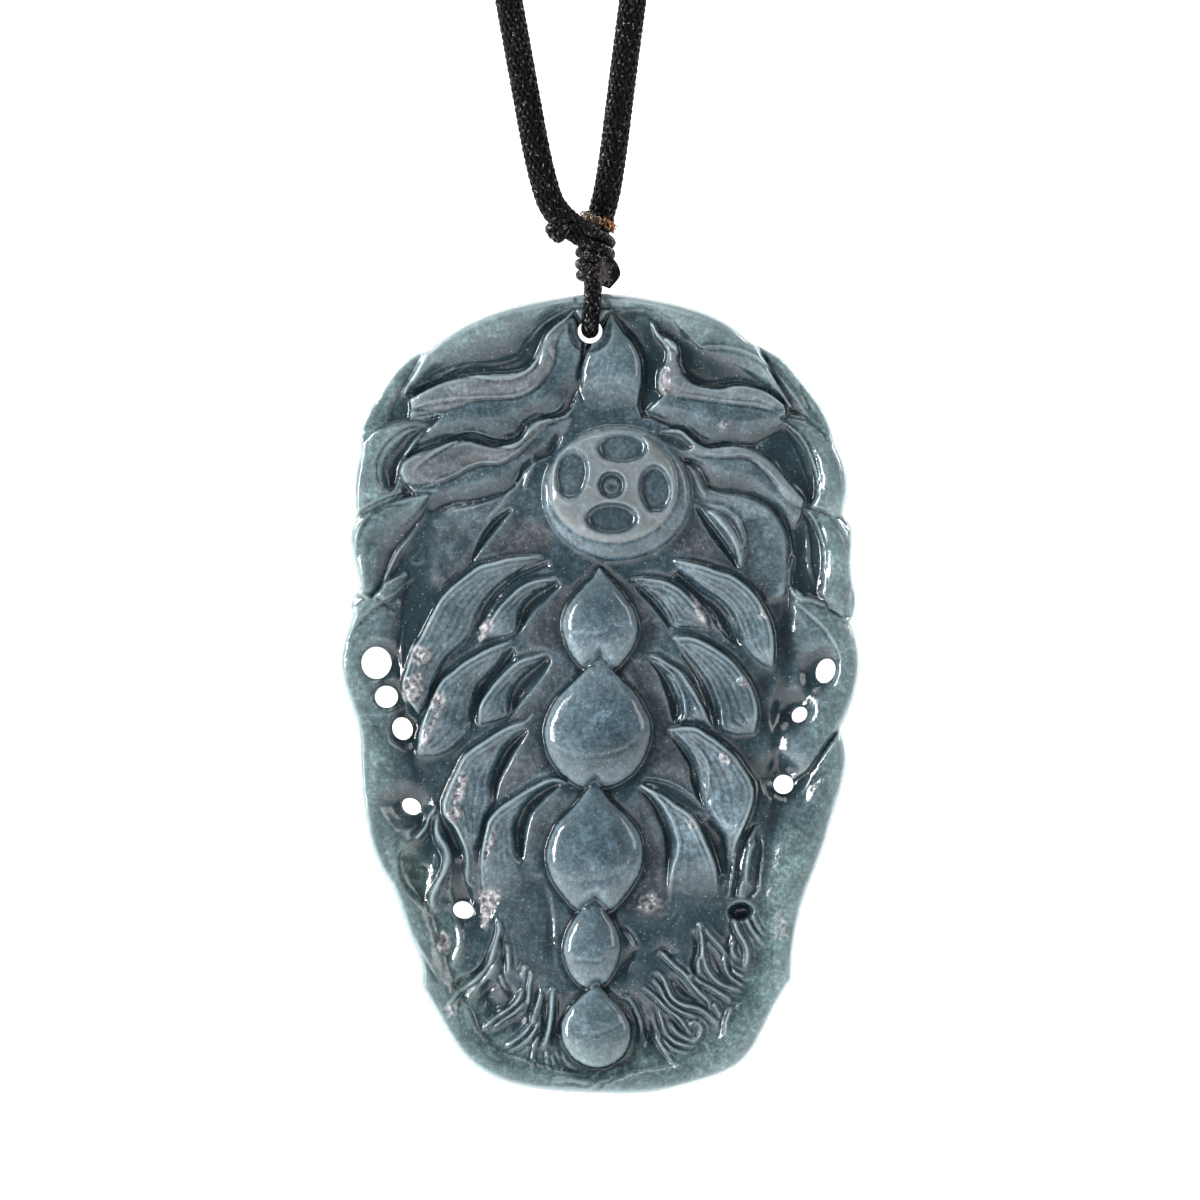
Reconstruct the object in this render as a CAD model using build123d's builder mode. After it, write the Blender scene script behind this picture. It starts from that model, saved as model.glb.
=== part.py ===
from build123d import *
import math
import os
from collections import namedtuple

# Carved stone pendant on a braided neck cord, in millimetres.
# +Z is up, the carved face looks along -Y, and +X is to the right of a viewer who faces it.
# The origin is under the top of the neck cord's loop, at the place where the loop hangs.

# Driving dimensions of the stone
pendant_width = 52.4
pendant_height = 80.4
plate_thickness = 3.2
carving_rise = 2.6
hollow_depth = 0.9
hole_edge_margin = 3.85
hole_clearance = 0.30
hole_chamfer = 0.5
edge_chamfer = 0.5

# Driving dimensions of the cords
neck_cord_diameter = 2.8
thin_cord_diameter = 1.84
bail_bend_radius = 1.84
gold_thread_diameter = 0.56
gold_thread_height = 1.5
hitch_turn_thickness = 0.75
hitch_turn_width = 1.3
hitch_turn_arc = 200

# Driving dimensions of the knot
knot_half_width = 2.1
knot_shift = 0.21
shoulder_slope = 40
bail_top_shift = 0.3
bail_shift = 0.55

# Gaps and clearances
strand_gap = 0.4
seat_margin = 0.05
stack_gap = 0.15
hole_seat_gap = 0.05
leg_gap = 0.38
leg_toe_in = 0.25
top_edge_gap = 0.45
wrap_gap = 0.1

# Route of the neck cord, from its front end in the knot, round the neck, to its rear end.
# side is a share of the distance that keeps the two strands apart at the knot:
# minus is in front and plus is behind.
Point = namedtuple("Point", "x side z")
ROUTE = [
    Point(3.30, -1.0, -279.7),
    Point(-0.32, -1.0, -277.8),
    Point(-1.95, -0.8, -273.2),
    Point(-3.66, -0.3, -263.8),
    Point(-6.92, 0.0, -245.8),
    Point(-13.6, 0.0, -210.8),
    Point(-24.3, 0.0, -169.3),
    Point(-36.8, 0.0, -127.3),
    Point(-49.5, 0.0, -86.3),
    Point(-58.4, 0.0, -60.0),
    Point(-54.1, 0.0, -33.0),
    Point(-38.0, 0.0, -10.9),
    Point(-13.7, 0.0, 1.4),
    Point(13.7, 0.0, 1.4),
    Point(38.0, 0.0, -10.9),
    Point(54.1, 0.0, -33.0),
    Point(58.4, 0.0, -60.0),
    Point(49.1, 0.0, -86.3),
    Point(35.9, 0.0, -127.3),
    Point(23.0, 0.0, -169.3),
    Point(13.4, 0.0, -210.8),
    Point(8.6, 0.0, -245.8),
    Point(6.3, 0.3, -263.0),
    Point(5.25, 0.8, -271.6),
    Point(4.45, 1.0, -276.2),
    Point(3.38, 1.0, -279.2),
]
strand_side = neck_cord_diameter / 2 + strand_gap / 2
route_points = [Vector(p.x, p.side * strand_side, p.z) for p in ROUTE]
front_end, front_bend = route_points[0], route_points[1]
rear_bend, rear_end = route_points[-2], route_points[-1]
front_way = (front_bend - front_end).normalized()
rear_way = (rear_bend - rear_end).normalized()


def fillet_radii(points, share=0.45):
    """The radius at each corner of a route, as large as its two runs allow."""
    radii = []
    for before, corner, after in zip(points, points[1:], points[2:]):
        run_in, run_out = corner - before, after - corner
        half_turn = math.radians(run_in.get_angle(run_out)) / 2
        radii.append(share * min(run_in.length, run_out.length) / math.tan(half_turn))
    return radii


# The knot's turns, from the bottom up.
# height is a share of the thin cord, width and depth are shares of the knot's own.
Turn = namedtuple("Turn", "height width depth")
TURNS = [
    Turn(0.54, 0.64, 1.00),
    Turn(0.65, 1.00, 1.05),
    Turn(0.65, 0.98, 1.00),
]
# How much of a turn's height its rounded edges take
TURN_ROUNDING = 0.35
# Shares of the knot's own half width and half depth
CORE_WIDTH, CORE_DEPTH = 0.45, 0.82
COLLAR_WIDTH, COLLAR_DEPTH = 0.95, 0.97
knot_x = (front_end.X + rear_end.X) / 2 + knot_shift
leg_side = plate_thickness / 2 + thin_cord_diameter / 2 + leg_gap
leg_top_side = leg_side - leg_toe_in
knot_half_depth = leg_top_side + thin_cord_diameter / 2 + seat_margin
facet_reach = neck_cord_diameter / 2 + seat_margin
facet_way = Vector(front_way.Z, 0, -front_way.X)
facet_top = front_end + facet_way * facet_reach
turn_heights = [turn.height * thin_cord_diameter for turn in TURNS]
stack_top = front_end.Z - facet_way.Z * facet_reach - stack_gap
knot_bottom = stack_top - sum(turn_heights)

# Places of the hanging hole and of the thin cord in it
pendant_top = knot_bottom - top_edge_gap
hole_radius = thin_cord_diameter / 2 + hole_clearance
hole_z = pendant_top - hole_edge_margin
bail_z = hole_z + hole_clearance - hole_seat_gap
bail_top_x = knot_x - bail_top_shift
bail_x = knot_x - bail_shift

# The carving is drawn on squares, this many across and this many high.
SQUARES_WIDE = 52.4
SQUARES_HIGH = 80.4
HOLE_ACROSS = -1.0
TOP_ROW = 30.8
square_x = pendant_width / SQUARES_WIDE
square_z = pendant_height / SQUARES_HIGH
layout_x = bail_x - HOLE_ACROSS * square_x
layout_z = pendant_top - TOP_ROW * square_z

plate_front = -plate_thickness / 2
plate_back = plate_thickness / 2
# Raised shapes start inside the plate, this share of its thickness below its face.
ROOT_SHARE = 0.25
root_depth = ROOT_SHARE * plate_thickness
root = plate_front + root_depth


def place(across, up):
    """A point of the carving, in squares, as x and z."""
    return (layout_x + across * square_x, layout_z + up * square_z)


def carving_plane(depth):
    """A sketch plane facing the viewer, whose own axes are +X and +Z."""
    return Plane(origin=(0, depth, 0), x_dir=(1, 0, 0), z_dir=(0, -1, 0))


# Edge of the stone, clockwise from the upper left, one row for each lobe between notches.
# Each row holds points of that lobe, across and up, in squares.
OUTLINE = {
    "crown": [
        (-17.4, 25.1), (-12.5, 28.2), (-5.0, 30.3), (0.5, 30.8), (6.0, 30.1), (12.5, 28.0),
        (15.0, 26.1),
    ],
    "right shoulder": [
        (15.0, 26.1), (17.0, 25.0), (18.7, 23.9), (20.2, 22.0), (22.8, 18.4), (23.3, 17.0), (23.7, 15.6),
    ],
    "right lobe 1": [(23.7, 15.6), (24.9, 12.3), (24.9, 10.4), (24.4, 8.5)],
    "right lobe 2": [(24.4, 8.5), (25.2, 7.4), (25.4, 5.0), (25.35, 3.0), (25.7, 0.5), (25.2, -2.2)],
    "right lobe 3": [(25.2, -2.2), (26.15, -6.5), (25.6, -9.8), (24.15, -13.0)],
    "right flank": [
        (24.15, -13.0), (24.8, -17.0), (23.8, -20.6), (22.4, -25.2), (20.9, -29.0), (19.75, -33.3),
        (19.4, -37.9),
    ],
    "base": [
        (19.4, -37.9), (17.1, -41.7), (14.0, -46.5), (9.5, -48.4), (5.0, -49.5), (0.5, -49.6),
        (-5.1, -49.3), (-9.3, -48.5), (-12.8, -46.7), (-16.6, -41.3), (-18.2, -38.6),
    ],
    "left flank": [
        (-18.2, -38.6), (-18.4, -35.8), (-19.7, -32.9), (-20.8, -29.4), (-22.35, -26.8), (-23.5, -23.3),
        (-24.1, -19.1), (-24.3, -14.5),
    ],
    "left lobe 4": [(-24.3, -14.5), (-25.4, -10.0), (-26.2, -6.8), (-25.7, -3.6), (-25.0, -1.4)],
    "left lobe 3": [(-25.0, -1.4), (-25.0, 0.0), (-24.3, 1.2)],
    "left lobe 2": [(-24.3, 1.2), (-25.2, 5.2), (-25.2, 6.8), (-24.6, 8.2)],
    "left lobe 1": [(-24.6, 8.2), (-24.8, 12.0), (-24.1, 15.2)],
    "left shoulder": [(-24.1, 15.2), (-24.0, 17.3), (-22.0, 21.0), (-20.0, 23.6), (-17.4, 25.1)],
}

# Raised drops down the middle. All places are in squares, rise is a share of carving_rise.
Drop = namedtuple("Drop", "tip left bottom right rise")
DROPS = {
    "top drop": Drop((1.2, 26.3), (-1.8, 22.0), (0.9, 18.7), (4.0, 22.2), 0.45),
    "drop 1": Drop((-0.1, 3.2), (-3.6, -3.0), (0.0, -7.5), (3.7, -3.0), 0.80),
    "drop 2": Drop((0.0, -5.2), (-5.5, -12.8), (-0.2, -18.5), (5.1, -12.8), 1.00),
    "drop 3": Drop((-0.5, -18.0), (-5.3, -25.3), (-0.5, -31.0), (4.25, -25.3), 0.90),
    "drop 4": Drop((-0.5, -29.8), (-3.6, -34.8), (-0.8, -38.5), (2.0, -34.8), 0.72),
    "drop 5": Drop((-0.3, -38.4), (-3.8, -43.0), (-0.4, -46.6), (3.0, -43.0), 0.60),
}

# Raised ribs, each between an outer and an inner arc that meet at both tips.
Rib = namedtuple("Rib", "start outer end inner rise")
RIBS = {
    "upper left strand 1": Rib((-2.8, 29.0), (-9.0, 24.2), (-19.2, 20.6), (-8.0, 22.2), 0.30),
    "upper left strand 2": Rib((-2.5, 20.4), (-9.6, 16.6), (-20.3, 13.2), (-9.4, 14.9), 0.30),
    "upper right strand 1": Rib((5.2, 28.0), (10.2, 24.9), (18.5, 20.0), (9.0, 22.8), 0.30),
    "upper right strand 2": Rib((5.3, 16.9), (11.4, 15.9), (17.6, 10.8), (10.9, 13.8), 0.30),
    "left rib 1": Rib((-5.0, 4.6), (-16.2, -1.5), (-17.8, -15.5), (-12.9, -3.5), 0.50),
    "left rib 2": Rib((-4.5, 2.2), (-9.8, -0.8), (-12.3, -6.0), (-7.9, -1.2), 0.35),
    "left rib 3": Rib((-7.5, -3.8), (-13.4, -6.1), (-17.0, -12.5), (-11.2, -7.4), 0.40),
    "left rib 4": Rib((-5.8, -5.6), (-9.8, -7.9), (-12.2, -12.5), (-8.2, -8.3), 0.30),
    "left rib 5": Rib((-6.8, -12.2), (-13.4, -15.5), (-15.8, -21.2), (-11.0, -16.6), 0.50),
    "left rib 6": Rib((-4.6, -17.8), (-10.5, -21.2), (-12.0, -27.8), (-8.3, -22.2), 0.45),
    "right rib 1": Rib((8.0, 4.1), (15.8, -1.0), (17.4, -14.0), (13.4, -2.8), 0.50),
    "right rib 2": Rib((3.6, 2.4), (9.0, -0.6), (11.5, -5.4), (7.5, -1.0), 0.35),
    "right rib 3": Rib((7.4, -3.7), (12.8, -5.7), (15.4, -12.0), (10.6, -7.4), 0.40),
    "right rib 4": Rib((4.7, -5.3), (8.8, -7.8), (11.5, -12.5), (7.4, -8.2), 0.30),
    "right rib 5": Rib((7.2, -12.6), (12.9, -15.9), (15.2, -22.0), (10.2, -17.5), 0.50),
    "right rib 6": Rib((4.2, -18.5), (9.3, -22.2), (11.8, -28.0), (7.4, -22.8), 0.45),
}

# Oval features: centre, full width and full height in squares, and the tilt in degrees.
Oval = namedtuple("Oval", "across up wide high tilt")
DISC = Oval(2.1, 11.4, 14.4, 11.3, 0)
DISC_RISE_SHARE = 0.7
DISC_HOLLOWS = {
    "top": Oval(2.2, 15.0, 4.8, 2.8, 0),
    "left": Oval(-2.4, 12.2, 2.9, 4.6, 12),
    "centre": Oval(1.2, 11.5, 2.7, 2.7, 0),
    "right": Oval(5.7, 11.2, 3.4, 4.8, -12),
    "bottom": Oval(1.2, 8.0, 5.4, 2.8, 0),
}
RIM_HOLLOWS = {
    "left lobe 1": Oval(-21.0, 14.0, 1.6, 5.4, -20),
    "left lobe 2": Oval(-20.6, 6.4, 1.6, 4.2, -25),
    "right lobe 1": Oval(20.4, 13.8, 1.6, 6.4, 20),
    "right lobe 2": Oval(21.7, 5.4, 1.6, 6.2, -10),
}
OPEN_HOLES = {
    "left 1": Oval(-22.4, -6.3, 3.0, 3.2, 0),
    "left 2": Oval(-21.4, -9.7, 2.3, 2.2, 0),
    "left 3": Oval(-19.8, -12.9, 2.0, 2.3, 20),
    "left 4": Oval(-18.9, -20.7, 2.0, 1.6, -30),
    "left 5": Oval(-13.7, -31.1, 2.1, 1.7, -15),
    "right 1": Oval(22.6, -7.1, 1.9, 2.5, -20),
    "right 2": Oval(20.0, -11.5, 1.7, 1.4, 45),
    "right 3": Oval(18.4, -18.5, 2.0, 1.9, 0),
}
BLIND_PIT = Oval(14.1, -31.2, 2.2, 1.6, 0)


def draw_oval(oval):
    """Adds an oval feature to the sketch that is being made."""
    with Locations(place(oval.across, oval.up)):
        Ellipse(oval.wide * square_x / 2, oval.high * square_z / 2, rotation=oval.tilt)


def knot_turn(bottom, height, half_width, half_depth):
    """One turn of the knot: an oval disc with rounded edges."""
    with BuildPart() as disc:
        with BuildSketch(Plane.XY.offset(bottom)):
            with Locations((knot_x, 0)):
                Ellipse(half_width, half_depth)
        extrude(amount=height)
        fillet(disc.edges(), radius=TURN_ROUNDING * height)
    return disc.part


os.makedirs("parts", exist_ok=True)

# Carved stone
with BuildPart() as pendant:
    with BuildSketch(carving_plane(plate_back)):
        with BuildLine():
            for lobe in OUTLINE.values():
                Spline(*[place(across, up) for across, up in lobe])
        make_face()
    extrude(amount=plate_thickness)
    rims = pendant.edges().group_by(Axis.Y)
    chamfer(rims[0] + rims[-1], edge_chamfer)
    for drop in DROPS.values():
        with BuildSketch(carving_plane(root)):
            with BuildLine():
                Spline(*[place(*p) for p in (drop.tip, drop.left, drop.bottom, drop.right, drop.tip)])
            make_face()
        extrude(amount=root_depth + drop.rise * carving_rise)
    for rib in RIBS.values():
        with BuildSketch(carving_plane(root)):
            with BuildLine():
                ThreePointArc(place(*rib.start), place(*rib.outer), place(*rib.end))
                ThreePointArc(place(*rib.end), place(*rib.inner), place(*rib.start))
            make_face()
        extrude(amount=root_depth + rib.rise * carving_rise)
    disc_face = plate_front - DISC_RISE_SHARE * carving_rise
    with BuildSketch(carving_plane(root)):
        draw_oval(DISC)
    extrude(amount=root - disc_face)
    with BuildSketch(carving_plane(disc_face)):
        for hollow in DISC_HOLLOWS.values():
            draw_oval(hollow)
    extrude(amount=-hollow_depth, mode=Mode.SUBTRACT)
    with BuildSketch(carving_plane(plate_front)):
        for hollow in RIM_HOLLOWS.values():
            draw_oval(hollow)
        draw_oval(BLIND_PIT)
    extrude(amount=-hollow_depth, mode=Mode.SUBTRACT)
    with BuildSketch(carving_plane(plate_back)):
        for hole in OPEN_HOLES.values():
            draw_oval(hole)
    extrude(amount=plate_thickness + carving_rise, mode=Mode.SUBTRACT)
    with BuildSketch(carving_plane(plate_back)):
        with Locations((bail_x, hole_z)):
            Circle(hole_radius)
    extrude(amount=plate_thickness + carving_rise, mode=Mode.SUBTRACT)
    for face, way in ((plate_front, -1), (plate_back, 1)):
        with BuildSketch(carving_plane(face)):
            with Locations((bail_x, hole_z)):
                Circle(hole_radius + hole_chamfer)
        extrude(amount=way * hole_chamfer, taper=45, mode=Mode.SUBTRACT)
pendant.part.label = "pendant"
export_step(pendant.part, "parts/pendant.step")

# Thick neck cord, a whole loop
neck_radii = fillet_radii(route_points)
with BuildPart() as neck_cord:
    with BuildLine() as neck_route:
        FilletPolyline(*route_points, radius=neck_radii)
    with BuildSketch(Plane(origin=front_end, z_dir=front_way)):
        Circle(neck_cord_diameter / 2)
    sweep(path=neck_route.line)
neck_cord.part.label = "neck_cord"
export_step(neck_cord.part, "parts/neck_cord.step")

# Thin cord through the hanging hole, cut level where it enters the knot
leg_spare = thin_cord_diameter / 2
bail_points = [
    Vector(bail_top_x, -leg_top_side, knot_bottom + leg_spare),
    Vector(bail_x, -leg_side, bail_z),
    Vector(bail_x, leg_side, bail_z),
    Vector(bail_top_x, leg_top_side, knot_bottom + leg_spare),
]
bail_radii = [bail_bend_radius] * 2
with BuildPart() as bail_loop:
    with BuildLine() as bail_route:
        FilletPolyline(*bail_points, radius=bail_radii)
    with BuildSketch(Plane(origin=bail_points[0], z_dir=bail_points[1] - bail_points[0])):
        Circle(thin_cord_diameter / 2)
    sweep(path=bail_route.line)
    split(bisect_by=Plane.XY.offset(knot_bottom), keep=Keep.BOTTOM)
bail_loop.part.label = "bail_loop"
export_step(bail_loop.part, "parts/bail_loop.step")

# Knot: turns of the thin cord, and a collar that both ends of the neck cord butt against
turns = []
level = knot_bottom
for row, height in zip(TURNS, turn_heights):
    turns.append(knot_turn(level, height, row.width * knot_half_width, row.depth * knot_half_depth))
    level += height
collar_foot = stack_top - turn_heights[-1] / 2
cut_size = 4 * knot_half_depth
with BuildPart() as wrapped_knot:
    add(turns)
    with BuildSketch(Plane.XY.offset(knot_bottom + turn_heights[0] / 2)):
        with Locations((knot_x, 0)):
            Ellipse(CORE_WIDTH * knot_half_width, CORE_DEPTH * knot_half_depth)
    extrude(amount=collar_foot - knot_bottom)
    with BuildSketch(Plane.XY.offset(collar_foot)):
        with Locations((knot_x, 0)):
            Ellipse(COLLAR_WIDTH * knot_half_width, COLLAR_DEPTH * knot_half_depth)
    extrude(amount=facet_top.Z - collar_foot)
    # Front seat, square to the front end of the neck cord
    with Locations(Plane(origin=(front_end.X, 0, front_end.Z), x_dir=(0, 1, 0), z_dir=front_way)):
        with Locations((0, facet_reach, 0)):
            Box(cut_size, cut_size, cut_size, align=(Align.MAX, Align.MAX, Align.MIN), mode=Mode.SUBTRACT)
    # Rear seat, square to the rear end of the neck cord
    with Locations(Plane(origin=(rear_end.X, 0, rear_end.Z), x_dir=(0, 1, 0), z_dir=rear_way)):
        Box(cut_size, cut_size, cut_size, align=(Align.MIN, Align.CENTER, Align.MIN), mode=Mode.SUBTRACT)
    # Shoulder that slopes down to the right of the front seat
    shoulder_way = Vector(0, 0, 1).rotate(Axis.Y, shoulder_slope)
    with Locations(Plane(origin=(facet_top.X, 0, facet_top.Z), x_dir=(0, 1, 0), z_dir=shoulder_way)):
        Box(cut_size, cut_size, cut_size, align=(Align.MAX, Align.CENTER, Align.MIN), mode=Mode.SUBTRACT)
wrapped_knot.part.label = "wrapped_knot"
export_step(wrapped_knot.part, "parts/wrapped_knot.step")

# Turn of thin cord round the outside of the neck cord's bend
next_way = (route_points[2] - front_bend).normalized()
bend_out = (front_way - next_way).normalized()
bend_along = (front_way + next_way).normalized()
half_bend = math.radians(front_way.get_angle(next_way)) / 2
bend_centre = front_bend - bend_out * neck_radii[0] * (1 / math.cos(half_bend) - 1)
bend_axis = Axis(bend_centre, bend_along)
with BuildPart() as hitch_turn:
    start = bend_out.rotate(Axis((0, 0, 0), bend_along), -hitch_turn_arc / 2)
    with BuildSketch(Plane(origin=bend_centre, x_dir=start, z_dir=start.cross(bend_along))):
        with Locations((neck_cord_diameter / 2 + wrap_gap + hitch_turn_thickness / 2, 0)):
            Ellipse(hitch_turn_thickness / 2, hitch_turn_width / 2)
    revolve(axis=bend_axis, revolution_arc=hitch_turn_arc)
hitch_turn.part.label = "hitch_turn"
export_step(hitch_turn.part, "parts/hitch_turn.step")

# Gold thread round the foot of the right-hand strand
with BuildPart() as gold_thread:
    thread_centre = rear_end + rear_way * gold_thread_height
    thread_radius = gold_thread_diameter / 2
    with Locations(Plane(origin=thread_centre, z_dir=rear_way)):
        Torus(neck_cord_diameter / 2 + thread_radius + seat_margin, thread_radius)
gold_thread.part.label = "gold_thread"
export_step(gold_thread.part, "parts/gold_thread.step")

# Figures for checking the routes by
route_length = sum(edge.length for edge in neck_route.line.edges())
section = math.pi * neck_cord_diameter**2 / 4
volume_share = neck_cord.part.volume / (section * route_length)
print("neck cord radii:", [round(r, 1) for r in neck_radii])
print("thin cord radii:", [round(r, 2) for r in bail_radii])
print("neck cord length:", round(route_length, 1))
print("neck cord volume against section times length:", round(volume_share, 4))
print("stone volume in cubic centimetres:", round(pendant.part.volume / 1000, 2))
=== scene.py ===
import math
import bmesh
import bpy
import numpy as np
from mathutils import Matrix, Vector, geometry


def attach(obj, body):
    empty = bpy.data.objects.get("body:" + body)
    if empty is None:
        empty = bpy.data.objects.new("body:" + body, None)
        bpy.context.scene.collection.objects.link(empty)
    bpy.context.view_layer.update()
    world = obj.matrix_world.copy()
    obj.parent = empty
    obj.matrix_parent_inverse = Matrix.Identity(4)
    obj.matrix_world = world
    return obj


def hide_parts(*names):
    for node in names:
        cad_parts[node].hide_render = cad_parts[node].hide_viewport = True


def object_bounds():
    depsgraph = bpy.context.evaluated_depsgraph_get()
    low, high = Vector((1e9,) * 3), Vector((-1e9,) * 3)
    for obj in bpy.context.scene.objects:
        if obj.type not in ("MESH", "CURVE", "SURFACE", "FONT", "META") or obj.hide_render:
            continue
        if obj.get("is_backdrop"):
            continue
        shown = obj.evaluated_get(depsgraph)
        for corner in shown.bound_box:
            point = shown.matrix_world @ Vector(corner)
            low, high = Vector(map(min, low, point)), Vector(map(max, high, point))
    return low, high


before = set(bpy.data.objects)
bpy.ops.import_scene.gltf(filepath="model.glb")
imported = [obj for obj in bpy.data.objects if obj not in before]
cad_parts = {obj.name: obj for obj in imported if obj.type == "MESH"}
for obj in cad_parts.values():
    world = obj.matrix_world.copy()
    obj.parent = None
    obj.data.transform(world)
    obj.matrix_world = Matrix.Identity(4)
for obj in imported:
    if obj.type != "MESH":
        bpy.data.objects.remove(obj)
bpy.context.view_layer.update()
MM = 0.001
TURN = 2 * math.pi
scene = bpy.context.scene

# Camera: straight at the carved face, 120 mm wide at the stone
PHOTO_CENTRE = (0.004, -0.31577)
CAMERA_Y = -0.602
SENSOR_MM, LENS_MM = 36, 180
cam_data = bpy.data.cameras.new("camera")
cam_data.sensor_width = SENSOR_MM
cam_data.lens = LENS_MM
camera = bpy.data.objects.new("camera", cam_data)
camera.location = (PHOTO_CENTRE[0], CAMERA_Y, PHOTO_CENTRE[1])
camera.rotation_euler = (math.radians(90), 0, 0)
scene.collection.objects.link(camera)
scene.camera = camera
scene.view_settings.view_transform = "Standard"

# Line of the neck cord, from its front end in the knot, round the neck, to its rear end
CORD_LINE = [
    (0.00330, -0.0016, -0.2797), (-0.00032, -0.0016, -0.2778), (-0.00195, -0.00128, -0.2732),
    (-0.00366, -0.00048, -0.2638), (-0.00692, 0, -0.2458), (-0.0136, 0, -0.2108), (-0.0243, 0, -0.1693),
    (-0.0368, 0, -0.1273), (-0.0495, 0, -0.0863), (-0.0584, 0, -0.0600), (-0.0541, 0, -0.0330),
    (-0.0380, 0, -0.0109), (-0.0137, 0, 0.0014), (0.0137, 0, 0.0014), (0.0380, 0, -0.0109),
    (0.0541, 0, -0.0330), (0.0584, 0, -0.0600), (0.0491, 0, -0.0863), (0.0359, 0, -0.1273),
    (0.0230, 0, -0.1693), (0.0134, 0, -0.2108), (0.0086, 0, -0.2458), (0.0063, 0.00048, -0.2630),
    (0.00525, 0.00128, -0.2716), (0.00445, 0.0016, -0.2762), (0.00338, 0.0016, -0.2792),
]
CORD_DIAMETER = 0.0028
CORE_RADIUS = 0.00114
cord_curve = bpy.data.curves.new("neck_cord_core", "CURVE")
cord_curve.dimensions = "3D"
cord_curve.resolution_u = 24
spline = cord_curve.splines.new("NURBS")
spline.points.add(len(CORD_LINE) - 1)
for point, place in zip(spline.points, CORD_LINE):
    point.co = (*place, 1)
spline.order_u = 3
spline.use_endpoint_u = True
cord_core = bpy.data.objects.new("neck_cord_core", cord_curve)
scene.collection.objects.link(cord_core)
bpy.context.view_layer.update()
line_mesh = bpy.data.meshes.new_from_object(cord_core.evaluated_get(bpy.context.evaluated_depsgraph_get()))
cord_points = np.array([v.co for v in line_mesh.vertices], float) / MM
bpy.data.meshes.remove(line_mesh)
cord_curve.bevel_depth = CORE_RADIUS
cord_curve.bevel_resolution = 3
cord_curve.use_fill_caps = True


# Lines, tubes and braids
def unit(v):
    return v / np.maximum(np.linalg.norm(v, axis=-1, keepdims=True), 1e-12)


def lengths(points):
    """How far along a line each of its points is."""
    return np.concatenate([[0], np.cumsum(np.linalg.norm(np.diff(points, axis=0), axis=1))])


def resample(points, step, close=False):
    """Points along a line; step is one length for all, or the length at each point."""
    points = np.asarray(points, float)
    if close:
        points = np.vstack([points, points[:1]])
    run = lengths(points)
    if np.ndim(step) == 0:
        at = np.linspace(0, run[-1], max(2, int(round(run[-1] / step)) + 1))
    else:
        at = np.asarray(step)
        at = at[at <= run[-1]]
    out = np.column_stack([np.interp(at, run, points[:, i]) for i in range(points.shape[1])])
    return out[:-1] if close else out


def pairs(text):
    """Pairs of numbers, written as x,y with spaces between the pairs."""
    return [tuple(float(n) for n in pair.split(",")) for pair in text.split()]


def rows(text):
    """Rows with ; between them. Each holds plain numbers, then pairs."""
    for row in text.split(";"):
        words = row.split()
        yield (*(float(w) for w in words if "," not in w), pairs(" ".join(w for w in words if "," in w)))


def smooth(points, step=0.3, least=2):
    """A smooth line through a few points, in any number of dimensions."""
    p = np.array(pairs(points) if isinstance(points, str) else points, float)
    if len(p) < 3:
        t = np.linspace(0, 1, max(least, int(np.linalg.norm(p[1] - p[0]) / step)))[:, None]
        return p[0] * (1 - t) + p[1] * t
    ext = np.vstack([2 * p[0] - p[1], p, 2 * p[-1] - p[-2]])
    out = []
    for a, b, c, d in zip(ext, ext[1:], ext[2:], ext[3:]):
        t = np.linspace(0, 1, max(least, int(np.linalg.norm(c - b) / step)), endpoint=False)[:, None]
        out.append(0.5 * (2 * b + (c - a) * t + (2 * a - 5 * b + 4 * c - d) * t**2
                          + (3 * b - a - 3 * c + d) * t**3))
    return np.vstack(out + [p[-1:]])


def carried_frames(points, side):
    """Tangents, and two normals that are carried along a line without twist."""
    t = unit(np.gradient(points, axis=0))
    n = np.zeros_like(t)
    first = np.array(side) - t[0] * np.dot(side, t[0])
    n[0] = first / np.linalg.norm(first)
    for i in range(1, len(t)):
        v = n[i - 1] - t[i] * np.dot(n[i - 1], t[i])
        n[i] = v / np.linalg.norm(v)
    return t, n, np.cross(t, n)


def make_object(name, verts_mm, faces, attributes=None):
    mesh = bpy.data.meshes.new(name)
    mesh.from_pydata((np.asarray(verts_mm, float) * MM).tolist(), [], faces)
    for key, values in (attributes or {}).items():
        layer = mesh.attributes.new(key, "FLOAT", "POINT")
        layer.data.foreach_set("value", np.asarray(values, np.float32))
    mesh.polygons.foreach_set("use_smooth", [True] * len(mesh.polygons))
    mesh.update()
    obj = bpy.data.objects.new(name, mesh)
    scene.collection.objects.link(obj)
    return obj


EVEN_SPREAD = 0.618034


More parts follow.
